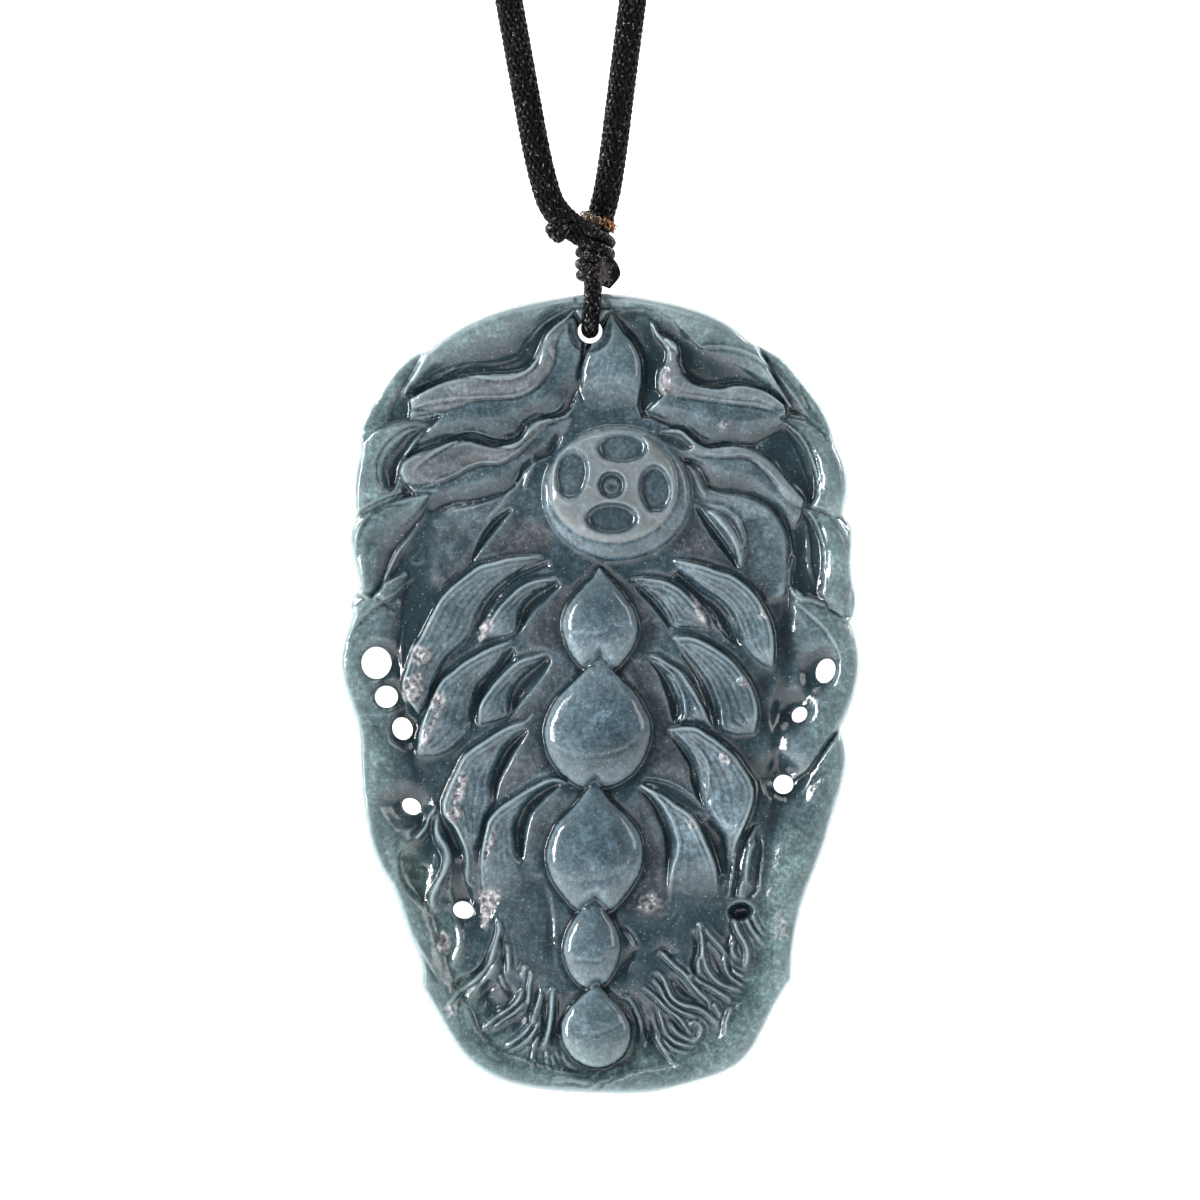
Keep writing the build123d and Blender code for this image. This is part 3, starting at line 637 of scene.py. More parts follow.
scoop("""-4.4,-18.3 -5.9,-18.8 -7,-19.6 -7.7,-20.4 -8.2,-21.3 -8.6,-22.3 -8.7,-23.4 -8.5,-24.6 -8.2,-25.5
         -7.8,-26.4""",
      "-3.9,-18.5 -5.2,-19.75 -6.25,-20.8 -6.9,-21.7 -7.2,-22.8 -7.4,-23.7 -7.6,-25 -7.75,-26.3", 0.9)
strip("-4,-18.8 -5.2,-19.8 -6.25,-20.9 -6.9,-21.8 -7.3,-23.2 -7.5,-24.6 -7.6,-26.2",
      "-3.2,-19.4 -4.4,-21 -5.6,-23 -6.2,-25.2 -6.2,-26.6", "0,1.75 0.15,2 0.8,1.9 1,1.4", warm=0.6, soft=0.5)

# ribs, right
leaf("""7.2,4.1 8.1,3.95 10.2,3.5 11.9,2.9 13.3,2.45 14.6,1.5 15.65,0.4 16.3,-0.7 16.9,-1.9 17.3,-3.4 17.4,-5.2
        17.3,-6.6""",
     """7.2,3.9 7.95,3 9,2.1 10.2,1.1 11.5,0.2 12.6,-0.8 13.3,-1.9 13.8,-3.2 14.2,-4.6 15.2,-5.8 16.2,-6.5
        17.2,-6.9""", 3.0, 1.5)
scoop("7.9,3 9,2.1 10.2,1 11.5,0.1 12.6,-0.9 13.3,-2 13.8,-3.3 14.1,-4.7",
      "7.1,2.4 8.6,1 9.8,-0.15 10.9,-1.5 11.5,-2.9 12.6,-4 13.9,-4.85", 1.0)
for k in range(3):
    ridge([(7.6 + 0.3 * k, 2.1 + 0.2 * k), (9.0 + 0.35 * k, 0.7 + 0.25 * k), (10.4 + 0.4 * k, -0.9 + 0.2 * k),
           (11.4 + 0.4 * k, -2.5 + 0.15 * k), (12.9 + 0.3 * k, -4.1 + 0.2 * k)], 0.13, 0.28 - 0.06 * k)
leaf("2.9,2.4 3.5,2.3 4.7,2.2 6.1,2.05 7.3,1.6 8.3,0.95 9.15,0.05 9.8,-0.7 10.5,-1.5 10.9,-2.7",
     "2.9,2.2 3.7,1.9 4.7,1 5.6,0.2 6.4,-0.85 6.9,-1.7 7.4,-2.9 8.6,-2.9 9.8,-3 10.8,-3.2", 2.7, 1.4)
scoop("3.6,1.8 4.7,0.9 5.6,0.1 6.4,-0.95 6.9,-1.8 7.3,-2.9", "3.4,1.3 4.3,0.2 5.2,-0.8 6,-1.8 6.8,-2.8", 1.0)
leaf("""7.4,-3.65 9,-3.65 10.35,-4.1 11.5,-4.75 12.6,-5.5 13.4,-6.2 14.1,-7.1 14.9,-8.2 15.5,-9.6 15.8,-11.2
        15.6,-12.8""",
     "7.4,-4 8,-4.8 8.8,-5.8 9.7,-7 10.5,-8.2 11,-9.4 11.4,-10.6 11.6,-11.8 12,-13.2 13.6,-13.6 15.4,-13.4",
     2.9, 1.5)
scoop("7.7,-4.5 8.8,-5.9 9.7,-7.1 10.5,-8.3 11,-9.5 11.4,-10.7 11.6,-12.2",
      "8.2,-5.9 9,-7.2 9.7,-8.6 10.3,-9.9 10.8,-11.2 11.5,-12.4", 1.2)
leaf("4.6,-5.35 5.9,-5.7 7.1,-6.4 8.1,-7.1 8.8,-8.1 9.6,-9.3 10.4,-10.8 11.2,-12.6",
     "4.7,-5.6 6.1,-6.6 7.1,-7.6 7.8,-9 8.1,-10.2 8.2,-11.4 7.8,-12.3 9.4,-12.7 11.1,-13", 2.8, 1.4)
ridge("4.9,-5.6 6.1,-6.35 7.1,-7.4 8,-8.8 8.4,-10.1 8.45,-11.3 8,-12.2 7.4,-12.5", 0.2, 0.4)
scoop("4.8,-5.8 6,-6.8 6.9,-7.9 7.6,-9.3 7.95,-10.4 8,-11.4 7.6,-12.2",
      "4.9,-6.2 5.7,-7.3 6.2,-8.7 6.7,-10.1 7,-11.4 7.4,-12.4", 0.95)
strip("2.2,2.6 3.4,1.4 4.3,0.3 5.2,-0.7 6,-1.7 6.9,-2.9 7.2,-3.6 5.9,-4.6 4.8,-5.4",
      "1.2,2.3 3,0.2 4,-2 3.8,-4 3.4,-5.2", "0,1.6 0.12,1.85 0.8,1.75 1,1.3", warm=0.4, soft=0.5)
strip("4.8,-6 5.7,-7.4 6.2,-8.8 6.7,-10.2 7,-11.4 7.2,-12.6",
      "2.9,-5.8 3.4,-7.8 4.6,-9.8 5.3,-11.6 5.6,-12.8", "0,1.6 0.12,1.85 0.8,1.75 1,1.3", warm=0.8, soft=0.5)
# small curls beside the second drop
for r0 in (0.55, 0.95, 1.35):
    groove([(5.6 + r0 * math.cos(a), -3.1 + 0.9 * r0 * math.sin(a))
            for a in np.linspace(0.3 + r0, 3.6 + r0, 9)], 0.12, 0.16)
leaf("""6.9,-12.9 8.1,-12.65 9.6,-12.7 10.6,-13.3 11.7,-14 12.6,-14.75 13.5,-15.6 14.4,-16.9 15.1,-18.1
        15.4,-19.4 15,-21.2 14.3,-22.9 13.6,-24.6 13.2,-26.8""",
     """7.2,-13.3 7.8,-13.7 8.7,-14.6 9.4,-15.7 9.8,-16.7 10.1,-17.7 10.3,-19 10.4,-20.6 10.9,-21.6 11.6,-22.4
        12.4,-23.4 12.8,-24.6 12.95,-26.6""", 3.1, 1.7, fade=0.2)
ridge("7.8,-13.5 8.7,-14.4 9.4,-15.5 9.9,-16.5 10.2,-17.6 10.4,-18.9 10.4,-20.4", 0.15, 0.35)
ridge("9.6,-14.4 10.3,-15.5 10.8,-16.5 10.9,-17.8 10.7,-19.2 10.5,-20.6", 0.15, 0.3)
scoop("7.4,-13.6 8.4,-14.8 9.2,-16 9.7,-17.2 10,-18.4 10.15,-19.6 10.35,-20.6",
      "7.1,-13.8 8.1,-15.3 8.9,-16.7 9,-18.1 9.6,-19.6 10.25,-20.6", 0.9)
strip("6.8,-13.4 8,-15.4 8.8,-16.9 8.9,-18.2 9.5,-19.6",
      "5.4,-12.8 5.1,-14.8 4.4,-16.8 5.2,-17.6 7.4,-18 9,-19", "0,1.8 0.08,2 0.9,1.9 1,1.6", warm=0.8,
      soft=0.5)
scoop("4.2,-18.1 4.9,-17.75 6.4,-17.95 7.6,-18.35 8.7,-19.05 9.6,-19.9 10.5,-21",
      "4.4,-18.4 6,-19.1 7.4,-20 8.9,-20.95 9.9,-21.3 10.5,-21.2", 1.45)
strip("10.3,-22.4 10.9,-24.2 11.5,-26 12.1,-27.6", "10.9,-21.9 12.3,-23.2 12.8,-25 12.9,-27.2",
      "0,1.2 0.3,1.15 0.8,1.35 1,1.8")
leaf("""4.1,-18.4 5.1,-18.9 6.4,-19.5 7.6,-20.4 8.7,-21.1 9.6,-22 10,-22.8 10.6,-24.2 11.2,-25.6 11.7,-27.2
        11.8,-29.6""",
     "4.1,-18.7 5.4,-19.7 6.4,-21 7.1,-22.2 7.4,-23.3 7.6,-24.3 7.5,-25.4 7.1,-26.7 6.9,-28.2 6.9,-30.4",
     2.95, 2.1, fade=0.3)
scoop("4.3,-18.9 5.3,-19.9 6.2,-21.2 6.9,-22.5 7.2,-23.6 7.3,-24.6 7.2,-25.6 6.9,-27 6.8,-28.4",
      "4.2,-19.2 5.3,-20.8 5.8,-22.1 6.3,-23.6 6.5,-25.3 6.6,-27 6.75,-28.4", 0.95)
ridge("4.2,-18.7 5.5,-19.5 6.5,-20.7 7.2,-22 7.6,-23.2 7.85,-24.2 7.75,-25.3 7.4,-26.5 7.1,-28.1 6.95,-30.4",
      0.24, 0.5, ends=(0.1, 0.15))
strip("4,-19.2 5.2,-20.9 5.7,-22.2 6.2,-23.7 6.4,-25.4 6.5,-27.2 6.7,-29.6 6.4,-31.8",
      "3.2,-20.2 4.3,-22 4.8,-24 4.9,-26 4.2,-28 3.2,-30 2.6,-31.4", "0,1.8 0.1,1.95 0.85,1.8 1,1.4",
      warm=0.9, soft=0.5)

# lower ground
strip("-7.6,-27.4 -9.4,-31.5 -9.9,-34 -9.4,-37 -7.4,-37.6 -4.6,-38.8",
      "-5.6,-27.4 -4.6,-31 -4.4,-34 -4.4,-36.5 -3.4,-38.2 -2.8,-38.6", "0,1.5 0.2,1.75 0.8,1.7 1,1.3",
      warm=0.3, soft=0.5)

# disc with five hollows
DOME = 0.42
FACE_LEVEL = 3.42
bulge(around(1.7, 10.7, 7.4, 6.7, 60), 1.9, 3.7, DOME)
face = around(1.3, 11.4, 6.5, 5.65, 80)
w = window(face)
on_face = inside(face, w)
H[w] = np.where(on_face, np.minimum(H[w] + 0.1, FACE_LEVEL), H[w])
WARM[w] = np.where(on_face, 0.25, WARM[w])
DISC_PALE_AND_SHADE[w] = np.where(on_face, 1.0, DISC_PALE_AND_SHADE[w])
groove(np.vstack([face, face[:2]])[::4], 0.16, 0.22, ends=(0, 0))
# each hollow has a cut with a step at its wall, and a lip round it
for cx, cy, wide, high, tilt, deep in (
        (2.2, 15.2, 5.2, 3.1, 0, 0.55), (-2.8, 12.6, 3.3, 5.2, -8, 0.55), (1.15, 11.5, 2.8, 2.8, 0, 0.6),
        (5.5, 11.1, 3.4, 5.0, 6, 0.55), (1.15, 8.15, 5.4, 3.2, 0, 0.55)):
    r = oval(cx, cy, wide, high, tilt)
    px = (1 - r) * min(wide, high) / 2
    cut = deep * np.clip(px / 0.26, 0, 1) * (1 - 0.35 * np.clip(px / 1.4, 0, 1))
    cut += 0.13 * np.exp(-((px - 0.40) / 0.11) ** 2)
    lip = 0.10 * np.exp(-((px + 0.16) / 0.13) ** 2)
    H[r < 1.6] = (H - cut + lip)[r < 1.6]
    WARM[r < 1.0] = 0.3
    # painted shade inside the hollows
    DISC_PALE_AND_SHADE[r < 1.02] = -1.0
# ring and dot in the middle hollow
from_middle = np.hypot(UU - 1.2, VV - 11.4)
H += 0.22 * np.exp(-((from_middle - 0.62) / 0.16) ** 2) - 0.3 * np.exp(-(from_middle / 0.28) ** 2)

# drops, from the top: a cut round each, and a rounded body
for number, (foot, top, line) in enumerate(rows("""
    1.6 2.75 1.1,28.9 1.6,27.9 2.3,26.8 3.2,25.8 3.9,24.5 4.15,23.2 4.05,21 3.6,19.5 2.2,18.6 0.2,18.6 -1.3,19.4
        -1.8,20.8 -1.9,22.2 -1.75,23.6 -1.2,25 -0.4,26.1 0.5,27.5;
    2 3.7 -0.1,3.3 0.6,2.6 1.7,1.3 2.7,0 3.5,-1.3 3.75,-2.7 3.55,-4.1 2.7,-5.6 1.2,-7 -1.2,-7 -2.7,-5.6
        -3.6,-3.6 -3.7,-1.9 -3.1,-0.4 -1.7,1.3 -0.7,2.3;
    2.1 4.1 0,-5 0.8,-6.4 2.2,-8 3.5,-9.3 4.4,-10.8 5.05,-12.5 4.8,-14.6 3.7,-16.8 1.8,-18.3 -0.2,-18.7
        -2.2,-18.5 -4,-17.1 -5.1,-15.4 -5.55,-13.4 -5.3,-11.9 -4.5,-10.2 -3.3,-8.8 -2,-7.6 -0.8,-6.3;
    2 3.9 -0.5,-17.8 1,-20 3,-22 3.95,-23.5 4.3,-25.4 3.9,-27.3 2.4,-29.6 1,-31 -0.8,-31.4 -2.3,-30.9 -3.6,-29.6
        -4.9,-27.6 -5.35,-25.2 -4.4,-22.6 -2.4,-20.4;
    1.9 3.4 -0.5,-29.6 0.9,-31.5 1.7,-33 2.05,-34.8 1.6,-36.6 0.6,-38.2 -0.8,-38.9 -2.3,-38.2 -3.3,-36.6
        -3.65,-34.8 -3.2,-33 -2.2,-31.4;
    1.8 3.2 -0.3,-38.2 0.9,-39.6 2.2,-41 3,-42.6 2.9,-44.4 1.8,-46 -0.3,-46.8 -2.4,-46 -3.6,-44.4 -3.85,-42.5
        -3,-40.8 -1.6,-39.4""")):
    ground = H.copy()
    ring = smooth(line + line[:1])
    w = window(ring, 2.0)
    H[w] -= np.where(inside(ring, w), 0, 0.5 * np.exp(-(reach(ring, w)[0] / 0.45) ** 2))
    bulge(ring, foot, top, DOME)
    if number == 0:  # the first drop is open at its foot
        H[:] = ground + (H - ground) * np.clip((VV - 18.9) / 3.4, 0, 1)
# faint steps across the drops
for rise, line in rows("""
    0.1 -1.7,21.2 -1,21.6 0.3,22.1 1.3,22.3 1.7,23.6;
    0.1 -3.4,-3.2 -1.4,-3.35 0.2,-3.4 1,-2.6 2,-1.6;
    0.08 -5.2,-14.2 -3,-15.4 -0.5,-15.6 2.3,-14.9 4.6,-13;
    0.08 -4.9,-27.4 -2.8,-28 0,-27.9 2.4,-26.8 3.9,-24.8;
    0.08 -3.1,-35.8 -1.4,-36 0,-36 1.2,-34.9;
    0.08 -2.9,-43.2 -1,-43.3 0.8,-43 2.2,-42.2"""):
    ledge(line, 0.8, rise, ends=(0.1, 0.1))
    groove(line, 0.16, 0.10)

# dark channels beside the ribs
strip("""-17.4,8 -19.2,5 -20.4,2.6 -20.4,-1 -20.2,-4 -20,-7 -19.8,-9.4 -18.8,-12 -18.4,-15 -18.4,-18.2
         -17.6,-21""",
      """-17.2,7 -17.3,4.6 -16.9,2.4 -16.3,0.2 -17.1,-1.8 -18.2,-3.9 -19,-5.6 -19.7,-8.8 -18.3,-12 -18.3,-15.4
         -16.6,-17.4 -16.4,-20.6""", "0,1.35 0.3,1.3 0.8,1.45 1,1.7", soft=0.8)
strip("20.6,9.2 21,6 21,2 19.2,-2 19,-6 18.8,-10 18.2,-14 18,-17.6 17.8,-21.6 17,-25 16.8,-28",
      """19.4,7.4 19.4,4.4 18.6,1.6 17.4,-1.6 17.7,-4.4 17.8,-7.4 16.8,-9.6 16.6,-12.8 16.8,-16.4 16.6,-19.8
         16.2,-22.6 16.2,-26""", "0,1.3 0.5,1.3 0.8,1.5 1,1.8", soft=0.8)

# lobes at both sides, the rear ones first
bulge("24.4,8.9 25.3,7.4 25.45,5 25.35,3 25.7,0.5 25.3,-2.4 23.5,-1.4 22.6,4 23.6,8.2", 0.9, 1.7)
bulge("-24.4,1.8 -25.1,0.2 -25.1,-1.4 -23.8,-3 -22.5,0.5 -23.2,1.8", 0.9, 1.6)
SLOPE = pairs("0,1.7 0.12,2.3 0.35,2.42 0.6,2.25 0.8,1.9 1,1.35")
# long bands along both flanks, from the rim down to the dark channel
strip("""-22.6,1.2 -24.6,-0.8 -25.9,-3.3 -26.6,-6 -26.4,-8.4 -25.2,-11.6 -24.8,-14.6 -24.6,-19 -23.8,-23.6
         -22.6,-27.2 -20.9,-30.4 -19.8,-33.6 -18.7,-36 -18.7,-38.8""",
      """-19,3 -19.7,0.4 -19.9,-2.2 -20,-4.6 -19.9,-7 -19.6,-9.6 -19,-12.6 -18.6,-15.4 -18.2,-18.4 -17.6,-21
         -18.2,-23.2 -18.9,-25.6 -18.5,-28.4 -17,-31 -16.2,-33.5 -15.4,-36 -14.6,-38.4""", SLOPE)
strip("24.3,-12.6 25.2,-15 25.2,-17.6 24.2,-20.8 22.8,-25.4 21.3,-29.2 20.1,-33.4 19.8,-38.2",
      "21,-16.8 19.2,-19.2 17.9,-21.4 17.2,-24 16.9,-26.6 16.6,-29 16.9,-31.4 17,-34 16.6,-36.6 15.6,-39.2",
      SLOPE)
strip("""20.4,0.5 21.6,0.2 23.5,-0.8 25.4,-2.2 26.2,-4 26.5,-7 26,-9.8 24.4,-12.4 22.6,-14.8 20.8,-17
         19.6,-17.9""",
      "18.9,1.6 18.8,-0.6 18.6,-3.4 18.6,-6.4 18.4,-9.4 18,-12.4 17.7,-15.2 18,-17.2 18.8,-17.9",
      "0,1.5 0.07,2.3 0.3,2.5 0.6,2.3 0.8,1.9 1,1.3")
strip("""-18.7,-38.6 -16.9,-41.5 -14.9,-45 -12.9,-47.1 -9.3,-49 -5.1,-49.7 1,-50 5.6,-49.9 11,-48.2 14.3,-46.9
         17.4,-41.9 19.8,-38""",
      """-14.6,-38.4 -13.2,-40.9 -11.8,-43.6 -10,-45.2 -7,-46.2 -4.6,-46.9 0,-47.6 4.8,-47 8.4,-46.2 11.6,-44.2
         13.8,-40.6 15.6,-39.2""", "0,1.4 0.25,2.15 0.6,2.15 1,1.55")
# left lobe 1 and 2
bulge("""-15.8,18.4 -17.5,18.2 -20,18 -22,17.3 -23.5,16.3 -24.3,15 -24.9,12.2 -25,9.5 -24.8,7.6 -23,8.6
         -21.2,9.4 -19.8,10.2 -19.6,11.9 -20.2,13.4 -18.6,15.2 -17.2,17""", 1.3, 2.7, power=0.45)
strip("-17.2,10.6 -19.5,10.3 -21.5,9.7 -23,9 -24.6,8.1 -25.6,6.3 -25.1,3.4 -24.4,0.8 -23.2,0",
      "-17,10.2 -17.4,8.6 -18.9,6.2 -20,4.7 -20.9,3 -21.8,1.2 -22.8,0.3",
      "0,1.6 0.12,2.4 0.35,2.6 0.6,2.2 0.8,1.45 0.9,1.35 0.96,1.9 1,1.6")
# right lobes
bulge("""18,18.2 19.5,18.5 21,17.9 22.3,16.9 23.8,15.4 24.7,13.6 25.1,11.2 24.6,8.4 22.8,8.5 21.2,9.4 21.8,11.8
         21.2,14.6 19.8,16.8""", 1.3, 2.6, power=0.45)
bulge("""20.3,9.5 21.7,9.2 23.2,8.6 24.4,7.6 25.2,6 25.3,3.4 25.2,0.4 24.8,-1.8 23.2,-1.2 21.9,0.6 22.4,2.8
         22.4,5 21.8,7.4""", 1.3, 2.6, power=0.45)

# pockets in the lobes
strip("-17.6,17.5 -19.2,16.9 -20.5,15.9 -21.7,14.4 -22.1,12.9 -21.7,11.3 -20.9,10.8",
      "-17.5,17.1 -18.6,15.9 -19.3,14.6 -19.8,13.4 -20.1,12.2 -20.5,11.2 -20.8,10.9",
      "0,2.3 0.08,2.5 0.2,1.9 0.6,1.45 0.9,1.6 1,2")
strip("18.3,17.9 20.2,16.4 21.3,14.2 21.8,12 21.6,10.1", "18.2,17.6 19,15.9 19.9,14 20.7,12.1 21.4,10",
      "0,2.2 0.25,1.5 0.8,1.2 1,1.5")
strip("20.4,9.3 21.6,8 22.4,5.6 22.5,3.2 21.9,1.4", "20.2,9 20.6,7.2 20.7,5.2 20.9,3.2 21.7,1.3",
      "0,2.1 0.3,1.4 0.8,1.2 1,1.7")

# channels between the ribs and the lobes
strip("20.2,9 20.4,7.2 20.4,5.2 20.5,3.2 21.3,1.2", "18.8,6.6 18.9,4.4 18.7,2.4 18.9,1.6",
      "0,1.3 0.6,1.3 1,1.6", soft=0.5)

# small ridges beside the disc and the channels
for width, rise, line in rows("""
    0.17 0.4 10.8,9.6 12.4,9.2 13.5,8.4 14.2,6.8 14.35,5.2 14.1,3.4;
    0.17 0.5 19.4,4.6 19,2.8 19,1.2 19.9,0.2 21.2,-0.1;
    0.14 0.16 -17.6,5.7 -18.4,4.7 -18.9,3.9 -18,3.8 -17.6,4.6 -17.6,5.5;
    0.15 0.3 -8,13.3 -8.4,12 -9.6,10 -11.4,8;
    0.15 0.3 -6.8,14.6 -6.6,13.6 -7.2,12.4 -7.6,11;
    0.16 0.35 8.7,13.6 9.4,12.6 9.9,11.4 10.7,10.2"""):
    ridge(line, width, rise, ends=(0.1, 0.15))

# crisp lines of the strands
for (line,) in rows("""
    -19.8,20.2 -17.3,21.5 -14,22.2 -10.3,21.9 -8,22.2 -6.3,23.5 -5.7,25.5 -4,27.4 -2.7,28.6;
    -16,22 -13.7,23.2 -10.3,23.5 -8,24.3 -7,25.8 -5.3,27.5 -3.2,28.9;
    -19,18.8 -15.7,19.8 -12,20 -8.3,20.2 -6.3,21.2 -5.3,22.5;
    -18.8,12.8 -16,14.8 -13,16 -10.3,15.2 -8.3,15.2 -7,16.5 -5.7,17.5 -3.3,18.2;
    -18.4,14.2 -15.6,15.7 -13,16.6 -10.4,15.9 -8.5,15.9 -7.3,17.1 -6,18.1 -4,18.9 -3.2,20.4;
    -17.8,11 -14.6,12.2 -12.4,13.4 -10,13.6 -8.2,14.6 -7,15.8;
    -15,9.4 -12,9.8 -9.6,10.6 -8.5,11.6 -7.6,13.1;
    5.8,27.5 6.7,25.5 7.6,24.8 7.7,23.2 9,21.8 11.3,21.4 13.7,21.7 16,21.2 17.7,20.3 19.3,18.8;
    9.7,25 12.3,25.1 15,24.4 17,22.9 19,20.6 20.4,18.6;
    7.6,20.3 10,20 12.6,19.6 15.6,19.3 17.6,18.7;
    5.6,16.8 6.3,17 8,17.3 9.3,16.2 10.7,15.4 13,15.6 16,14.6 18,12.9 20,10.4;
    9.6,14.4 12.4,14.2 14.6,14.2 16.4,12.9 18.2,10.9;
    7.7,14.2 9.7,13.2 10.6,11.6 12,11 15,10.6 17.3,9.3 18.9,6.8 19.5,3.8"""):
    crisp(line)
# and of the lobes
for (line,) in rows("""
    -24.6,13.4 -23.6,15.8 -21.8,17.3 -19.6,18.1 -17.2,18.6 -15.6,18.5;
    -21.6,10.9 -22.3,12.2 -22.2,13.9 -21.2,15.8 -19.4,17.1 -17.2,17.4;
    -25,6.4 -24.2,8.4 -22.4,9.6 -20.2,10.4 -17.6,10.7 -16,10.7;
    -23.8,0.6 -24.2,3.2 -24,6 -23.2,8 -21.7,9.1 -18.8,9.7;
    -25.5,-6.8 -25.3,-4.6 -24.2,-2.6 -22.6,-0.9 -20.2,0.5 -18.4,2.2;
    18.4,18.4 21,17.7 22.7,16.1 24.1,13.8 24.6,11.5;
    18.6,17.4 20.5,14.9 21.4,12.3 21.6,9.9;
    20.3,9.3 22.6,8.6 24.1,6.8 25,4.5 25.1,2.5;
    20.6,8.8 21.6,6.8 22.2,4.8 22.1,2.5 22.2,1.2;
    19.2,3.8 19.4,1.2 20,0.1 22,-0.6 24.2,-1.9 25.5,-4.5 25.8,-6.8;
    19.3,-0.4 21.2,-1.9 22.9,-3.8 23.9,-6.2;
    17.6,-19.4 19,-18.4 20.8,-17.2 22.6,-15 24.2,-12.9;
    -23.6,-22.8 -22.2,-26.4 -20.6,-29.6 -19.4,-33 -17.4,-36.2 -15.8,-38.8;
    -19.9,-2.4 -20.2,-5.4 -19.9,-8.4 -19.2,-11.6;
    22,-24.6 20.6,-28.4 19.4,-32.4 18.4,-36.4 16.8,-39.6"""):
    crisp(line, 0.24, 0.14, 0.32)

# left lower folds
strip("-16.4,-20.8 -17.4,-22.6 -18.9,-24.1 -20.2,-25.6 -19.8,-28.4 -18,-30.4",
      "-16.1,-21.4 -16.4,-23.6 -15.9,-25.4 -16.1,-27.2 -16.9,-28.8 -17.5,-30.4",
      "0,1.7 0.3,1.05 0.7,0.95 1,1.6")
strip("-15.9,-21.3 -15,-22.1 -14.3,-23.5 -13.8,-24.8 -13.9,-25.4",
      "-16,-21.6 -15.9,-22.8 -15.3,-24.2 -14.6,-25.2 -14.1,-25.6", "0,1.9 0.2,1.2 0.8,1.2 1,1.9")
strip("-14.6,-26 -15,-27.4 -15.2,-29.2 -14.8,-30.4", "-13.7,-26.2 -13.2,-27.8 -12.7,-29.2 -12.5,-30.6",
      "0,1.8 0.25,1.2 0.8,1.1 1,1.7")
for width, rise, line in rows("""
    0.25 0.5 -16.2,-20.6 -17.1,-21.6 -17.5,-22.8 -18.4,-23.9;
    0.42 0.9 -16.3,-21 -16.4,-22.4 -16.1,-23.6 -15.4,-24.8 -15.2,-26 -15.6,-27.2 -16.3,-28.6 -16.8,-30
        -16.5,-31.4;
    0.14 0.4 -16,-21.2 -15,-22 -14.2,-23.3 -13.7,-24.7 -13.4,-26.2 -13.3,-28.2 -12.4,-28.8;
    0.35 0.35 -15.7,-30 -14.7,-31.4 -14.1,-32.9 -13.9,-34.3 -14.5,-36 -15,-36.8"""):
    ridge(line, width, rise, ends=(0.1, 0.15))
for width, depth, line in rows("""
    0.2 0.45 -16.7,-21 -16.9,-22.6 -16.6,-24.2 -16,-25.4 -15.9,-26.4 -16.4,-27.8 -17.2,-29.4 -17.3,-31;
    0.16 0.35 -16.1,-21.8 -15.9,-23.2 -15,-24.6 -14.6,-25.8 -15,-27 -15.8,-28.6 -16.2,-30;
    0.25 0.45 -17.4,-21.2 -17.9,-22.6 -18.9,-23.9;
    0.16 0.3 -17.9,-26.4 -17.4,-27 -17,-26.8"""):
    groove(line, width, depth)
# dark channel with a strand, lower right
strip("15.2,-22.3 14.2,-23.5 13.5,-25.3 13.2,-27.5 12.8,-29.6",
      "16.1,-22.8 16.4,-25 16.2,-27 16.1,-28.8 15.4,-29.8",
      "0,2.1 0.12,1.2 0.3,1.1 0.42,1.9 0.6,1.7 0.8,1.1 0.9,1.1 1,1.9", full=2.0, foot=1.4)
for (line,) in rows("""
    15.5,-23 14.6,-24.4 14.2,-26 14.1,-28 14,-29.4;
    15.6,-24 15,-25.2 14.7,-27 14.6,-28.6"""):
    ridge(line, 0.16, 0.4)

